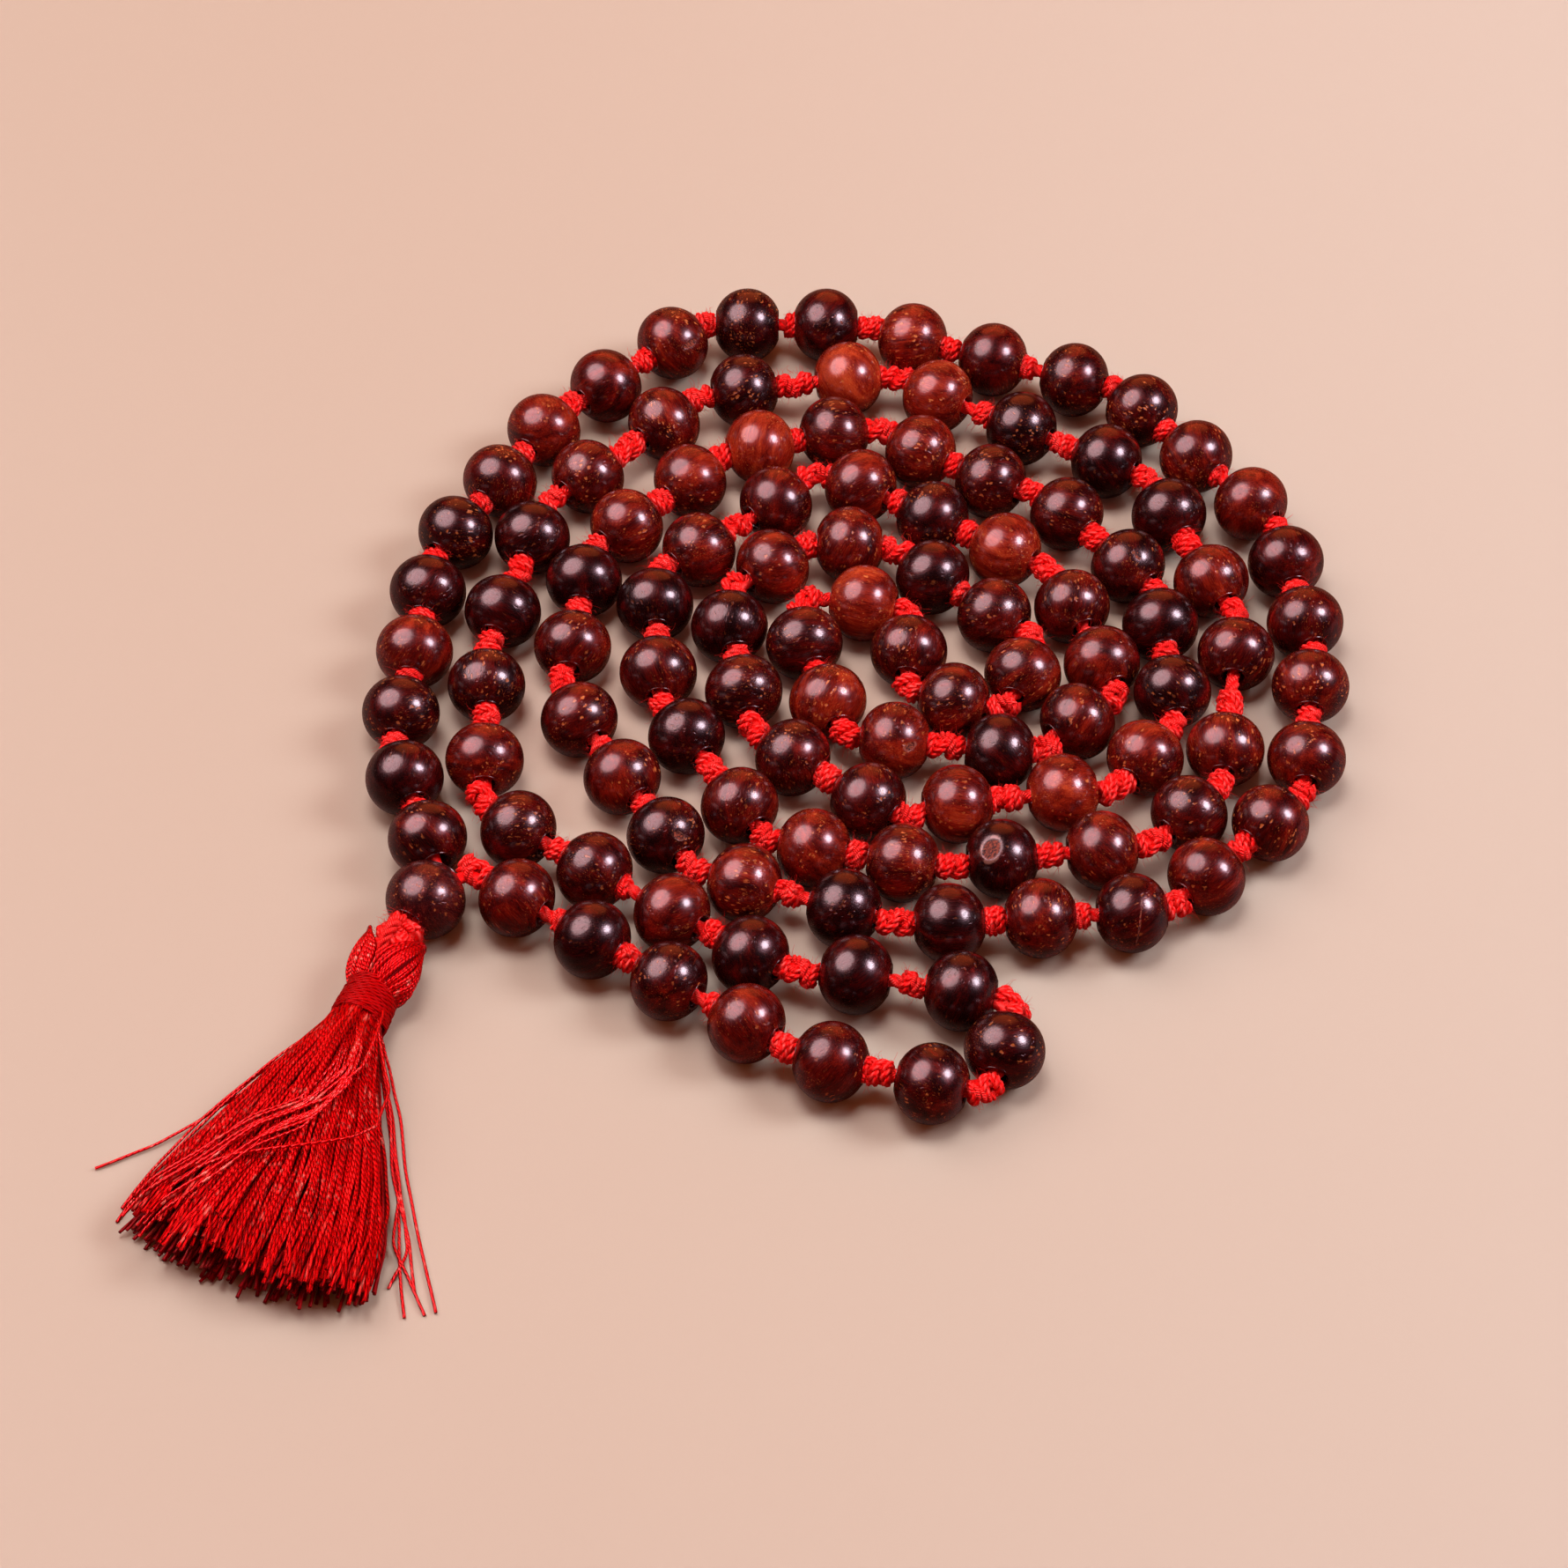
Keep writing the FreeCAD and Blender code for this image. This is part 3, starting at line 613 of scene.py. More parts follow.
class Bead:
    """One bead of its own: how it lies and is turned, its grain, tone, speckles and mark."""

    def __init__(self, number, centre, heading):
        chance = random.Random(number * 7919 + 5)
        self.turn = random_turn(chance)
        self.origin = Vector([chance.uniform(0, 900) for _ in range(3)])
        self.tone = TONES.get(number, DARK_TONE) + chance.uniform(-0.04, 0.04)
        self.speckle = 1.0 if number in FLECKED else 0.15 if number in PLAIN else 0.6
        lying = Matrix.Translation(centre) @ Matrix.Rotation(radians(heading), 4, "Z")
        self.upright = lying @ Matrix.Rotation(chance.uniform(0, 2 * pi), 4, "X")
        self.mark = MARKS.get(number)
        self.mark_lines = marked(self.mark, self.upright, self.turn, self.origin)

    def grain(self, local):
        """A point's place in the wood that the bead was cut from."""
        return self.turn @ local + self.origin

    def shaped(self, local):
        """A point of the blank, slightly lumpy and sunk into the mark, where the bead lies."""
        swell = 0.01 * noise.noise(local * 0.22 + self.origin)
        if self.mark:
            place, wide, lengthwise = self.mark_lines
            off = self.grain(local) - place
            reach = off.dot(wide) ** 2 + off.dot(lengthwise) ** 2 + off.length_squared * 0.03
            swell -= self.mark[-1] / BEAD_DIAMETER * 2 * max(0.0, 1 - reach)
        return self.upright @ ((local * (1 + swell)) * MM)


def strung_beads(name, blank, finish, places, heading, first):
    """The beads of one run as one mesh, which carries what their wood needs."""
    bm = bmesh.new()
    grain = bm.verts.layers.float_vector.new("grain")
    tone = bm.verts.layers.float.new("tone")
    speckle = bm.verts.layers.float.new("speckle")
    mark_layers = [bm.verts.layers.float_vector.new("mark_" + part) for part in ("place", "wide", "long")]
    for number, centre in enumerate(places, first):
        bead = Bead(number, centre, heading)
        before = len(bm.verts)
        bm.from_mesh(blank)
        bm.verts.ensure_lookup_table()
        for vert in bm.verts[before:]:
            vert[grain] = bead.grain(vert.co)
            vert[tone] = bead.tone
            vert[speckle] = bead.speckle
            for layer, value in zip(mark_layers, bead.mark_lines):
                vert[layer] = value
            vert.co = bead.shaped(vert.co)
    mesh = built(bm, name)
    mesh.materials.append(finish)
    mesh.shade_smooth()
    return linked(name, mesh)


def run_name(first, count):
    """The name of a run's node, from its first bead to its last."""
    return f"beads_{first:03d}" if count == 1 else f"beads_{first:03d}_{first + count - 1:03d}"


def string_beads():
    """All the runs of beads in their order, and the guru bead, which is number 0."""
    blank = turned(bead_outline(BEAD_DIAMETER, BEAD_LENGTH, BEAD_FACE, BEAD_BORE))
    guru_blank = turned(bead_outline(GURU_DIAMETER, GURU_LENGTH, GURU_FACE, GURU_BORE))
    first = 1
    for x, y, heading, count, spacing in RUNS:
        node = run_name(first, count)
        along = level(heading) * spacing
        places = [placed(x, y) + along * (index - (count - 1) / 2) * MM for index in range(count)]
        run = strung_beads("turned_" + node, blank, bead_wood, places, heading, first)
        add_part(run, node + "_body", node)
        first += count
    guru = strung_beads("turned_guru_bead", guru_blank, guru_wood, [placed(*GURU[:2])], GURU[2], 0)
    add_part(guru, "guru_bead_body", "guru_bead")


string_beads()

# ---- cord

guru_along = level(GURU[2])
end_knot_middle = placed(*GURU[:2]) - guru_along * END_KNOT_BACK * MM


def run_mouths():
    """Where the cord goes into each run of beads, and where it leaves it."""
    found = []
    for x, y, heading, count, spacing in RUNS:
        reach = level(heading) * (spacing * (count - 1) + BEAD_LENGTH) / 2 * MM
        found.append((placed(x, y) - reach, placed(x, y) + reach))
    return found


mouths = run_mouths()


# how far the cord swings out of a gap where the strand turns, as a share of the gap and at most
OUTWARD = 0.16
OUTWARD_MOST = 1.1
# a turn past which the cord keeps to the middle of its bow, and past which its knot is longer
BOWED_TURN = 55
SHARP_TURN = 30


class Corner:
    """The gap between two runs: its mouths, both headings, its sharper turn and middle."""

    def __init__(self, number):
        self.leaving = mouths[number][1]
        self.entry = mouths[number + 1][0]
        self.before = level(RUNS[number][2])
        self.after = level(RUNS[number + 1][2])
        self.gap = (self.entry - self.leaving).length / MM
        chord = self.entry - self.leaving
        self.turn = max(chord.angle(self.before), chord.angle(self.after))
        outward = self.before - self.after
        bow = min(OUTWARD * self.gap, OUTWARD_MOST / outward.length)
        self.middle = (self.leaving + self.entry) / 2 + outward * bow * MM


corners = [Corner(number) for number in range(len(RUNS) - 1)]


def cord_route():
    """The cord's points: out of the end knot through the guru bead, round the strand and back."""
    aside = level(GURU[2] - 90) * STRAND_OFFSET * MM
    upper = placed(*GURU[:2]) + guru_along * GURU_LENGTH / 2 * MM
    points = [end_knot_middle - aside, upper - aside]
    for (entry, leaving), corner in zip(mouths, corners):
        points += [entry, leaving]
        if corner.turn > radians(BOWED_TURN):
            points.append(corner.middle)
    points += mouths[-1]
    return points + [upper + guru_along * RETURN_RISE * MM + aside, end_knot_middle + aside]


def add_line(curve, path, order, detail):
    """One more smooth line in a curve; a point's fourth number is its thickness there."""
    spline = curve.splines.new("NURBS")
    spline.points.add(len(path) - 1)
    for point, where in zip(spline.points, path):
        point.co = (*where[:3], 1)
        point.radius = where[3] if len(where) > 3 else 1.0
    spline.order_u = order
    spline.use_endpoint_u = True
    spline.resolution_u = detail


def evaluated_mesh(source):
    """A curve as it is drawn, as a mesh."""
    bpy.context.view_layer.update()
    graph = bpy.context.evaluated_depsgraph_get()
    return bpy.data.meshes.new_from_object(source.evaluated_get(graph))


def strung_cord(route):
    """The stringing cord as one smooth line through every bead, and the points of that line."""
    curve = bpy.data.curves.new("stringing_cord_line", "CURVE")
    curve.dimensions = "3D"
    add_line(curve, route, 3, 8)
    cord = linked("cotton_cord_line", curve)
    points = [vert.co.copy() for vert in evaluated_mesh(cord).vertices]
    curve.bevel_depth = CORD_DIAMETER / 2 * MM
    curve.bevel_resolution = 3
    curve.use_fill_caps = True
    curve.materials.append(cotton)
    return cord, points


route = cord_route()
cord, cord_points = strung_cord(route)

# ---- tubes along paths


def threads(name, paths, radius, finish, sides, detail, caps=True):
    """Thin tubes along smooth paths, as one mesh; a path is a list of points in metres."""
    curve = bpy.data.curves.new(name + "_paths", "CURVE")
    curve.dimensions = "3D"
    curve.bevel_depth = radius
    curve.bevel_resolution = sides
    curve.use_fill_caps = caps
    for path in paths:
        add_line(curve, path, 4, detail)
    source = linked(name + "_source", curve)
    mesh = evaluated_mesh(source)
    bpy.data.objects.remove(source)
    bpy.data.curves.remove(curve)
    mesh.materials.clear()
    mesh.materials.append(finish)
    mesh.shade_smooth()
    # each thread carries one value of its own
    chance = random.Random(len(paths))
    weights = [len(path) for path in paths]
    share = len(mesh.vertices) / sum(weights)
    values = []
    for number in range(len(paths)):
        until = round(sum(weights[:number + 1]) * share)
        values += [chance.random()] * (until - len(values))
    mesh.attributes.new("thread", "FLOAT", "POINT").data.foreach_set("value", values)
    return linked(name, mesh)


# ---- knots


def nearest_on_cord(where):
    """The cord's point nearest to a place."""
    return min(cord_points, key=lambda point: (point - where).length_squared)


# the cord as it is wound in a knot, its plies, its steps, and the lengths that a knot may have
ROPE_RADIUS = 0.56
PLY_RADIUS = 0.24
WOUND_STEPS = 60
ACROSS_STEPS = 16
KNOT_SHORTEST = 1.6
KNOT_LONGEST = 4.1
# the last knot's gap, and how far it lies to the side of its run
LAST_GAP = 3.6
LAST_KNOT_ASIDE = 0.35
HAIR_RADIUS = 0.014
HAIRS_ON_A_KNOT = 90


def plies(path, offset, pitch, phase, thick=1.0):
    """Three plies twisted round a path, with six points to each turn of the twist."""
    lengths = [0.0]
    for near, far in zip(path, path[1:]):
        lengths.append(lengths[-1] + (far - near).length)
    count = int(lengths[-1] / (pitch * MM / 6)) + 2
    made = [[], [], []]
    index = 0
    side = Vector((0.3, 0.2, 1))
    for step in range(count):
        where = lengths[-1] * step / (count - 1)
        while lengths[index + 1] < where and index < len(path) - 2:
            index += 1
        part = (where - lengths[index]) / (lengths[index + 1] - lengths[index])
        tangent = (path[index + 1] - path[index]).normalized()
        side = (side - side.project(tangent)).normalized()
        other = tangent.cross(side)
        for number, ply in enumerate(made):
            angle = phase + 2 * pi * (number / 3 + where / (pitch * MM))
            point = path[index].lerp(path[index + 1], part)
            ply.append((*(point + (side * cos(angle) + other * sin(angle)) * offset * MM), thick))
    return made


class Knot:
    """A knot of the cord: its middle, direction, length, width, how its turns slant, and the
    mouths of the bores beside it, each with the direction into its bore."""

    def __init__(self, middle, along, length, width, chance, ends=()):
        self.middle = middle
        self.along = along
        self.out = along.cross(Vector((0, 0, 1))).normalized()
        self.up = self.out.cross(along)
        self.length = length
        self.width = width
        self.ends = ends
        self.phase = chance.uniform(0, 2 * pi)
        self.slant = chance.uniform(0.45, 0.75) * chance.choice((-1, 1, 1))
        self.lean = chance.uniform(-1.0, 1.0)

    def turn(self, turns, share, radius, hurry=1.0):
        """A point of the cord wound round the knot, radius being the cord's own.

        hurry above 1 leaves a full turn lying against each bead."""
        angle = self.phase + 2 * pi * turns * share
        ring = self.width / 2 - radius
        reach = max(self.length / 2 - radius * 0.80, 0.12)
        place = max(-1.0, min(1.0, (2 * share - 1) * hurry)) * reach
        slope = self.slant * min(ring, reach) * sin(angle + self.lean)
        room = min(1.0, abs(place) / (reach + 0.3))
        spread = ring * sqrt(1 - 0.38 * room**2)
        place = max(-reach, min(reach, place + slope * (1 - room**2)))
        radial = self.out * cos(angle) + self.up * sin(angle)
        return self.middle + (self.along * place + radial * spread) * MM

    def strands(self, chance, scale=1.0):
        """The plies of the cord: wound round itself, once across, and on into both bores."""
        rope = ROPE_RADIUS * scale
        turns = 1.7 + 0.40 * self.length / scale
        wound = [self.turn(turns, step / WOUND_STEPS, rope, 1.9) for step in range(WOUND_STEPS + 1)]
        across = [
            self.turn(-0.7, 0.06 + 0.88 * step / ACROSS_STEPS, rope * 0.82)
            for step in range(ACROSS_STEPS + 1)
        ]
        made = plies(wound, 0.38 * scale, 2.1 * scale, chance.uniform(0, 6))
        made += plies(across, 0.38 * scale, 2.1 * scale, chance.uniform(0, 6))
        if self.ends:
            first, last = ([mouth + into * depth * MM for depth in (0.8, 0.0)] for mouth, into in self.ends)
            neck = [*first, self.middle, *reversed(last)]
            made += plies(neck, 0.48, 3.6, chance.uniform(0, 6), 1.45)
        return made


def knot_places():
    """Each knot's middle, direction, length of gap, and the mouths beside it with the ways into them."""
    gaps = []
    for x, y, heading, count, spacing in RUNS:
        along = level(heading)
        for index in range(count - 1):
            middle = placed(x, y) + along * spacing * (index - (count - 2) / 2) * MM
            half = along * (spacing - BEAD_LENGTH) / 2 * MM
            ends = ((middle - half, -along), (middle + half, along))
            gaps.append((nearest_on_cord(middle), along, spacing - BEAD_LENGTH, ends))
    for corner in corners:
        along = (corner.before + corner.after).normalized()
        gap = corner.gap * (1.0 + 0.12 * (corner.turn > radians(SHARP_TURN)))
        ends = ((corner.leaving, -corner.before), (corner.entry, corner.after))
        gaps.append((nearest_on_cord(corner.middle).lerp(corner.middle, 0.8), along, gap, ends))
    last_along = level(RUNS[-1][2])
    last = last_along * LAST_GAP / 2 + level(RUNS[-1][2] - 90) * LAST_KNOT_ASIDE
    gaps.append((mouths[-1][1] + last * MM, last_along, LAST_GAP, ()))
    return gaps


KNOTS_IN_A_PIECE = 27


def stray_fibres(knot, chance, count):
    """Fine hairs that stand off a knot."""
    paths = []
    for _ in range(count):
        away = scatter(chance, 1)
        away = (away - away.project(knot.along)).normalized()
        root = knot.middle + (
            knot.along * chance.uniform(-0.45, 0.45) * knot.length + away * knot.width * 0.44
        ) * MM
        drift = scatter(chance, 0.34)
        tip = root + (away * abs(chance.gauss(0.25, 0.25)) + drift) * MM
        bend = (root + tip) / 2 + scatter(chance, 0.20) * MM
        paths.append([root, bend, bend.lerp(tip, 0.5), (*tip, 0.5)])
    return paths


END_KNOT_LENGTH = 4.3
END_KNOT_DIAMETER = 4.5
END_KNOT_SLANT = 0.7
END_KNOT_SCALE = 1.35
END_PLY_RADIUS = 0.336
END_CORE_RADIUS = 1.1
END_HAIR_RADIUS = 0.016
HAIRS_ON_END_KNOT = 260


def tie_knots():
    """All the spacer knots, in a few pieces, each followed by its stray fibres."""
    gaps = knot_places()
    for start in range(0, len(gaps), KNOTS_IN_A_PIECE):
        strands, fuzz = [], []
        for number, (centre, along, gap, ends) in enumerate(gaps[start:start + KNOTS_IN_A_PIECE], start):
            chance = random.Random(number * 31 + 7)
            width = KNOT_DIAMETER * chance.uniform(0.92, 1.04)
            length = min(max(gap, KNOT_SHORTEST), KNOT_LONGEST)
            knot = Knot(centre, along, length, width, chance, ends)
            strands += knot.strands(chance)
            fuzz += stray_fibres(knot, chance, HAIRS_ON_A_KNOT)
        group = start // KNOTS_IN_A_PIECE + 1
        for piece in (
            threads(f"tied_knots_{group}", strands, PLY_RADIUS * MM, cotton, 1, 2),
            threads(f"knot_fibres_{group}", fuzz, HAIR_RADIUS * MM, cotton, 0, 2, False),
        ):
            add_part(piece, "strand", "spacer_knots")


def tie_end_knot():
    """The big knot of both ends under the guru bead: its plies, what fills it, and its hairs."""
    chance = random.Random(11)
    knot = Knot(end_knot_middle, -guru_along, END_KNOT_LENGTH, END_KNOT_DIAMETER, chance)
    knot.slant = END_KNOT_SLANT
    plies_of_knot = knot.strands(chance, END_KNOT_SCALE)
    core = [knot.turn(1.5, step / 12, 1.2) for step in range(13)]
    hairs = stray_fibres(knot, chance, HAIRS_ON_END_KNOT)
    pieces = (
        threads("tied_end_knot", plies_of_knot, END_PLY_RADIUS * MM, cotton, 2, 3),
        threads("end_knot_heart", [core], END_CORE_RADIUS * MM, cotton, 2, 4),
        threads("end_knot_fibres", hairs, END_HAIR_RADIUS * MM, cotton, 0, 2, False),
    )
    for piece in pieces:
        add_part(piece, "strand", "end_knot")
    return pieces


tie_knots()
tied, heart, _ = tie_end_knot()
add_part(cord, "strand", "stringing_cord")

# ---- tassel

HEAD_LENGTH = 6.4
BINDING_LENGTH = 4.0
BINDING_TURNS = 26
BINDING_STEPS = 11
NECK_RADIUS = 2.35
NECK_DROP = 0.9
NECK_END = HEAD_LENGTH + BINDING_LENGTH
SKIRT_LENGTH = 32.5
# the fan: half its angle, its left edge and spread, half its hem's width and its height near the neck
FAN_ANGLE = 25
FAN_EDGE = -22.5
FAN_SPREAD = 47.0
FAN_HALF_WIDTH = 14.6
FAN_HEIGHT = 5.8
# half the thickness of the threads in each piece
LOOP_THREAD = 0.20
INSIDE_THREAD = 0.22
TAIL_PLY = 0.30
BAND_THREAD = 0.15
SKIRT_THREAD = 0.185
STRAY_THREAD = 0.16
down = level(TASSEL_HEADING)
across = level(TASSEL_HEADING + 90)
UP = Vector((0, 0, 1))


def hung(x, y, z):
    """A point of the tassel: down from the end knot, across to the right, and up from the bores."""
    return end_knot_middle + (down * x + across * y + UP * z) * MM


def smooth_between(stops, share):
    """A value read from evenly spaced stops."""
    place = share * (len(stops) - 1)
    low = min(int(place), len(stops) - 2)
    return stops[low] + (stops[low + 1] - stops[low]) * (place - low)


# each half of the loop from beside the knot to the neck: down, across, up and thickness
LEFT_LOOP = [
    (0.2, -2.1, 0.1, 0.35), (1.1, -2.1, 0.2, 0.95), (2.6, -1.95, 0.1, 1.45), (4.4, -1.85, -0.2, 1.60),
    (6.0, -1.55, -0.6, 1.60), (7.0, -1.0, -0.9, 1.30), (7.8, -0.6, -0.9, 0.90),
]
RIGHT_LOOP = [
    (0.4, 2.1, 0.0, 0.45), (1.4, 1.9, 0.5, 1.30), (3.0, 1.6, 0.8, 2.10), (4.7, 1.5, 0.4, 2.45),
    (6.3, 1.4, -0.2, 2.30), (7.2, 1.1, -0.7, 1.60), (7.9, 0.6, -0.9, 0.90),
]
# the threads lie round the end knot, which keeps this room from its middle to turn between them
KNOT_ROOM = 3.00
LOOP_STEPS = 8


def looped_threads(stops, turns, count, chance):
    """The threads on the outside of one half of the loop, wound a little round it."""
    paths = []
    for number in range(count):
        start = 2 * pi * number / count + chance.uniform(-0.07, 0.07)
        thick = chance.uniform(0.90, 1.03)
        path = []
        for step in range(LOOP_STEPS + 1):
            share = step / LOOP_STEPS
            x, y, z, width = (smooth_between(column, share) for column in zip(*stops))
            angle = start + turns * share
            spot = Vector((x, y + width * thick * cos(angle), z + width * thick * sin(angle)))
            path.append(hung(*spot.normalized() * max(spot.length, KNOT_ROOM)))
        paths.append(path)
    return paths


def tassel_head():
    """Both halves of the loop of silk, each with threads inside it painted darker, as painted shade."""
    chance = random.Random(5)
    for name, stops, turns, count in (
        ("loop_left", LEFT_LOOP, 0.5, 31), ("loop_right", RIGHT_LOOP, 2.2, 42),
    ):
        outer = looped_threads(stops, turns, count, chance)
        inner = looped_threads([(*stop[:3], stop[3] * 0.86) for stop in stops], turns, count, chance)
        # painted shade: the threads inside take the darker copy of the silk
        for piece in (
            threads(name + "_inside", inner, INSIDE_THREAD * MM, shade_painted_silk, 1, 3),
            threads(name, outer, LOOP_THREAD * MM, loop_silk, 1, 3),
        ):
            add_part(piece, "tassel", "tassel_head")


# the cord's tail over the head: down, across and up from the end knot's middle
TAIL = [(-0.8, -0.1, 2.1), (0.4, -0.3, 2.5), (1.6, -0.4, 2.3), (2.7, -0.45, 1.9), (3.7, -0.4, 1.2)]
TAIL_STEPS = 6


def knot_tail():
    """The short end of the cord that hangs from the knot and tapers out between the loops."""
    line = []
    for stop, after in zip(TAIL, TAIL[1:]):
        for step in range(TAIL_STEPS):
            line.append(hung(*Vector(stop).lerp(Vector(after), step / TAIL_STEPS)))
    tapered = []
    for ply in plies(line, 0.42, 2.6, 0.4):
        tapered.append([(*point[:3], 1.35 - 0.95 * step / len(ply)) for step, point in enumerate(ply)])
    piece = threads("knot_tail", tapered, TAIL_PLY * MM, cotton, 2, 3)
    add_part(piece, "tassel", "tassel_head")


def wound_band():
    """One fine thread wound many times round the neck, from its far end to the head and back."""
    chance = random.Random(3)
    path = []
    count = BINDING_TURNS * BINDING_STEPS
    for step in range(count):
        share = step / (count - 1)
        angle = 2 * pi * BINDING_TURNS * share
        from_head = abs(1 - 2 * share)
        x = HEAD_LENGTH + 0.1 + (BINDING_LENGTH - 0.2) * from_head
        slant = 0.35 * (1 - from_head) if share < 0.5 else -0.30
        x += slant * sin(angle) + chance.uniform(-0.05, 0.05)
        radius = NECK_RADIUS + 0.30 + 0.25 * from_head + 0.10 * (share > 0.5)
        radius += chance.uniform(-0.07, 0.07)
        path.append(hung(x, radius * cos(angle), radius * sin(angle) - NECK_DROP))
    piece = threads("wound_band", [path], BAND_THREAD * MM, binding_silk, 1, 2)
    add_part(piece, "tassel", "tassel_binding")


SKIRT_STEPS = 13


def skirt_thread(turn, layer, chance, length, lean=0.0):
    """One thread: from the neck, over or through the fan, to its place along the hem.

    turn is its angle in the fan, layer its height, 0 on the table and 1 on top, and lean
    how far it strays to the side at the hem."""
    share = turn / radians(FAN_ANGLE)
    neck_y = NECK_RADIUS * 0.90 * share + chance.uniform(-0.3, 0.3)
    room = sqrt(max(0.05, 1 - (share * 0.86) ** 2))
    neck_z = -NECK_DROP + NECK_RADIUS * 0.90 * room * (2 * layer - 1)
    path = [hung(HEAD_LENGTH + 0.6, neck_y * 0.9, neck_z), hung(NECK_END, neck_y, neck_z)]
    wander = chance.gauss(0, 0.6)
    lock = Vector((share * 3.1, layer * 2.0, 0.0))
    crimp = chance.uniform(0, 100)
    for number in range(1, SKIRT_STEPS + 1):
        step = number / SKIRT_STEPS
        reach = length * step
        drift = noise.noise(lock + Vector((0, 0, step * 1.6))) * 1.5 * step
        drift += noise.noise(lock * 4.2 + Vector((9, 0, step * 2.2))) * 1.1 * step
        drift += noise.noise(Vector((crimp, reach * 0.36, 0))) * 0.75 * min(1, step * 3) + lean * step**1.5
        angle = turn * (1 + 0.12 * sin(pi * step)) + radians(wander) * step
        fan_half = NECK_RADIUS + (FAN_HALF_WIDTH - NECK_RADIUS) * step
        side = reach * sin(angle) + neck_y * (1 - step) + drift
        room = sqrt(max(0.0, 1 - (side / (fan_half + 0.8)) ** 2))
        top = (FAN_HEIGHT + 0.8 * sin(pi * min(1, step * 1.5)) - 0.1 * step) * (0.22 + 0.78 * room)
        top += 0.7 * noise.noise(Vector((side * 0.45, step * 2.0, 4.0)))
        height = 0.2 + (top - 0.4) * layer + 0.55 * noise.noise(Vector((0, reach * 0.34, crimp)))
        path.append(hung(NECK_END + reach * cos(angle), side, max(height, 0.2) - CORD_HEIGHT))
    return path


# loose threads: each a list of points down, across and up from the table
STRAYS = [
    [
        (10.5, 2.1, 3.6), (12.5, 3.6, 2.6), (17.9, 7.4, 1.2), (24.3, 10.8, 0.7), (30.4, 14.6, 0.3),
        (37.3, 19.2, 0.3),
    ],
    [
        (10.5, 2.2, 3.2), (17.0, 5.8, 2.0), (25.2, 10.1, 1.0), (29.8, 12.4, 0.8), (34.0, 14.0, 0.5),
        (38.8, 16.6, 0.2),
    ],
    [(10.5, 2.0, 3.4), (18.0, 6.4, 2.4), (24.5, 9.4, 1.6), (30.6, 13.6, 0.9), (36.0, 16.5, 0.3)],
    [(10.5, 1.9, 3.0), (18.5, 6.8, 1.8), (26.0, 10.9, 1.4), (32.0, 12.6, 0.8), (37.9, 18.3, 0.2)],
    [(10.5, 2.0, 2.8), (19.0, 6.6, 2.0), (27.0, 11.4, 1.2), (32.0, 14.2, 0.8), (36.3, 13.9, 0.2)],
    [
        (10.5, -2.0, 4.0), (16.0, -4.6, 3.4), (22.0, -8.2, 1.6), (25.0, -10.6, 0.7), (28.9, -13.5, 0.4),
        (33.3, -17.9, 0.3),
    ],
    [(10.5, -1.8, 3.8), (18.0, -6.4, 3.0), (25.0, -10.4, 1.0), (31.0, -12.4, 0.6), (36.6, -13.6, 0.2)],
    [(10.5, -1.6, 3.2), (19.0, -7.0, 2.4), (27.0, -10.6, 1.0), (33.0, -12.6, 0.5), (38.2, -13.4, 0.2)],
    [
        (9.8, 1.7, 4.4), (12.6, 3.2, 4.6), (18.0, 6.6, 5.2), (23.0, 7.6, 5.9), (25.4, 6.0, 6.5),
        (28.5, 0.9, 6.9), (30.7, -3.5, 6.5), (32.6, -6.1, 5.9), (36.2, -10.4, 3.6),
    ],
]
# the middle of the loose bundle that lies across the top of the fan, and its threads
CROSSING = [
    (11.0, 1.0, 5.2), (15.0, 2.2, 6.3), (18.9, 2.7, 6.8), (23.8, 1.1, 7.0), (27.4, -2.7, 6.9),
    (32.3, -5.9, 6.2), (35.8, -9.2, 4.6), (38.4, -10.6, 3.2),
]
CROSSING_COUNT = 12
# each layer of the skirt: threads, its lowest and highest share of the fan, and where it is cut
LAYERS = {
    "skirt_top_threads": (150, 0.86, 1.0, 0.905),
    "skirt_middle_threads": (170, 0.42, 0.86, 0.875),
    "skirt_bottom_threads": (150, 0.02, 0.42, 0.945),
}
LEANING_COUNT = 34


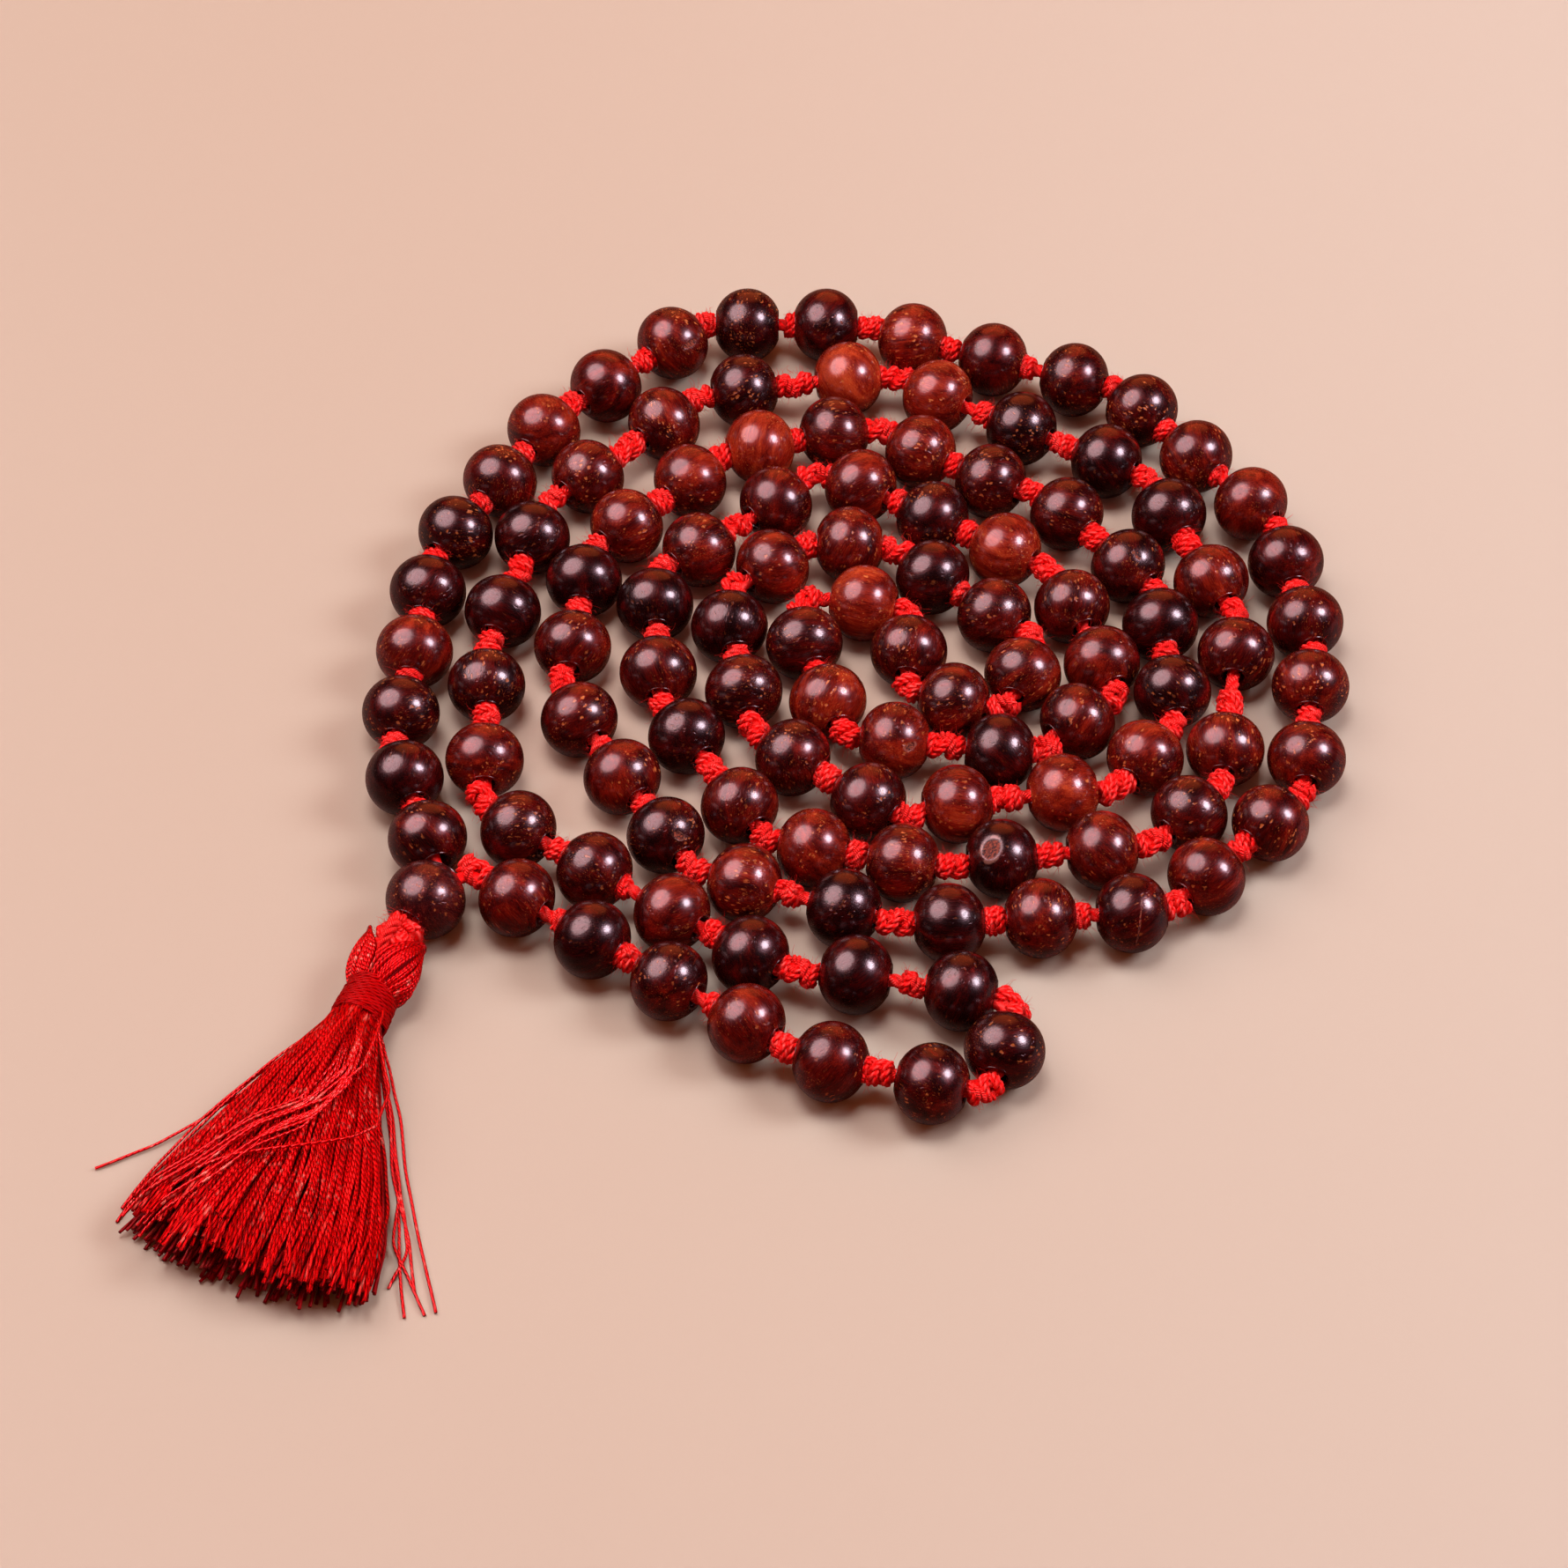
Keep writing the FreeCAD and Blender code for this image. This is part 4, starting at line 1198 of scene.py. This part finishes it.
def skirt_layer(name, chance):
    """One layer of the fan, cut unevenly, with some threads of the top layer leaning across it."""
    count, low, high, cut = LAYERS[name]
    on_top = low > 0.8
    paths = []
    for number in range(count):
        turn = radians(FAN_EDGE + FAN_SPREAD * (number + chance.uniform(0, 1)) / count)
        right = min(1.0, max(0.0, (turn / radians(FAN_ANGLE) + 0.15) * 2.2))
        clump = 0.03 * noise.noise(Vector((turn * 22, high * 5, 2.0)))
        longer = 0.065 * right * (low > 0.4)
        length = SKIRT_LENGTH * min(1.02, chance.gauss(cut + clump + longer, 0.018))
        paths.append(skirt_thread(turn, chance.uniform(low, high), chance, length))
    for _ in range(LEANING_COUNT if on_top else 0):
        turn = radians(chance.uniform(-12, 8))
        length = SKIRT_LENGTH * chance.uniform(0.75, 0.98)
        lean = -chance.uniform(3.0, 7.0) * (turn / radians(FAN_ANGLE) + 0.8)
        paths.append(skirt_thread(turn, chance.uniform(1.0, 1.08), chance, length, lean))
    chance.shuffle(paths)
    # painted shade: the middle and bottom layers take the darker copy of the silk
    piece = threads(name, paths, SKIRT_THREAD * MM, silk if on_top else shade_painted_silk, 1, 2)
    add_part(piece, "tassel", "tassel_skirt")


def stray_threads(chance):
    """The loose threads that lie over and beside the fan, with small kinks."""
    crossing = []
    for _ in range(CROSSING_COUNT):
        back, aside, twist = chance.gauss(0, 1.3), chance.gauss(0, 0.9), chance.gauss(0, 0.8)
        crossing.append([
            (x + back, y + aside + twist * (x - 24) / 12, z - abs(aside) * 0.12) for x, y, z in CROSSING
        ])
    loose = []
    for number, stray in enumerate(STRAYS + crossing):
        path = []
        for stop, after in zip(stray, stray[1:]):
            for share in (0, 0.25, 0.5, 0.75):
                x, y, z = Vector(stop).lerp(Vector(after), share)
                kink = 0.22 * noise.noise(Vector((number * 7.3, stop[0] * 0.4 + share * 1.7, 0)))
                path.append(hung(x, y + kink, z - CORD_HEIGHT))
        x, y, z = stray[-1]
        loose.append([*path, hung(x, y, z - CORD_HEIGHT)])
    piece = threads("stray_threads", loose, STRAY_THREAD * MM, glossy_silk, 1, 3)
    add_part(piece, "tassel", "tassel_skirt")


def skirt():
    """The fan of loose threads in layers, and the strays."""
    chance = random.Random(21)
    for name in LAYERS:
        skirt_layer(name, chance)
    stray_threads(chance)


tassel_head()
knot_tail()
wound_band()
skirt()
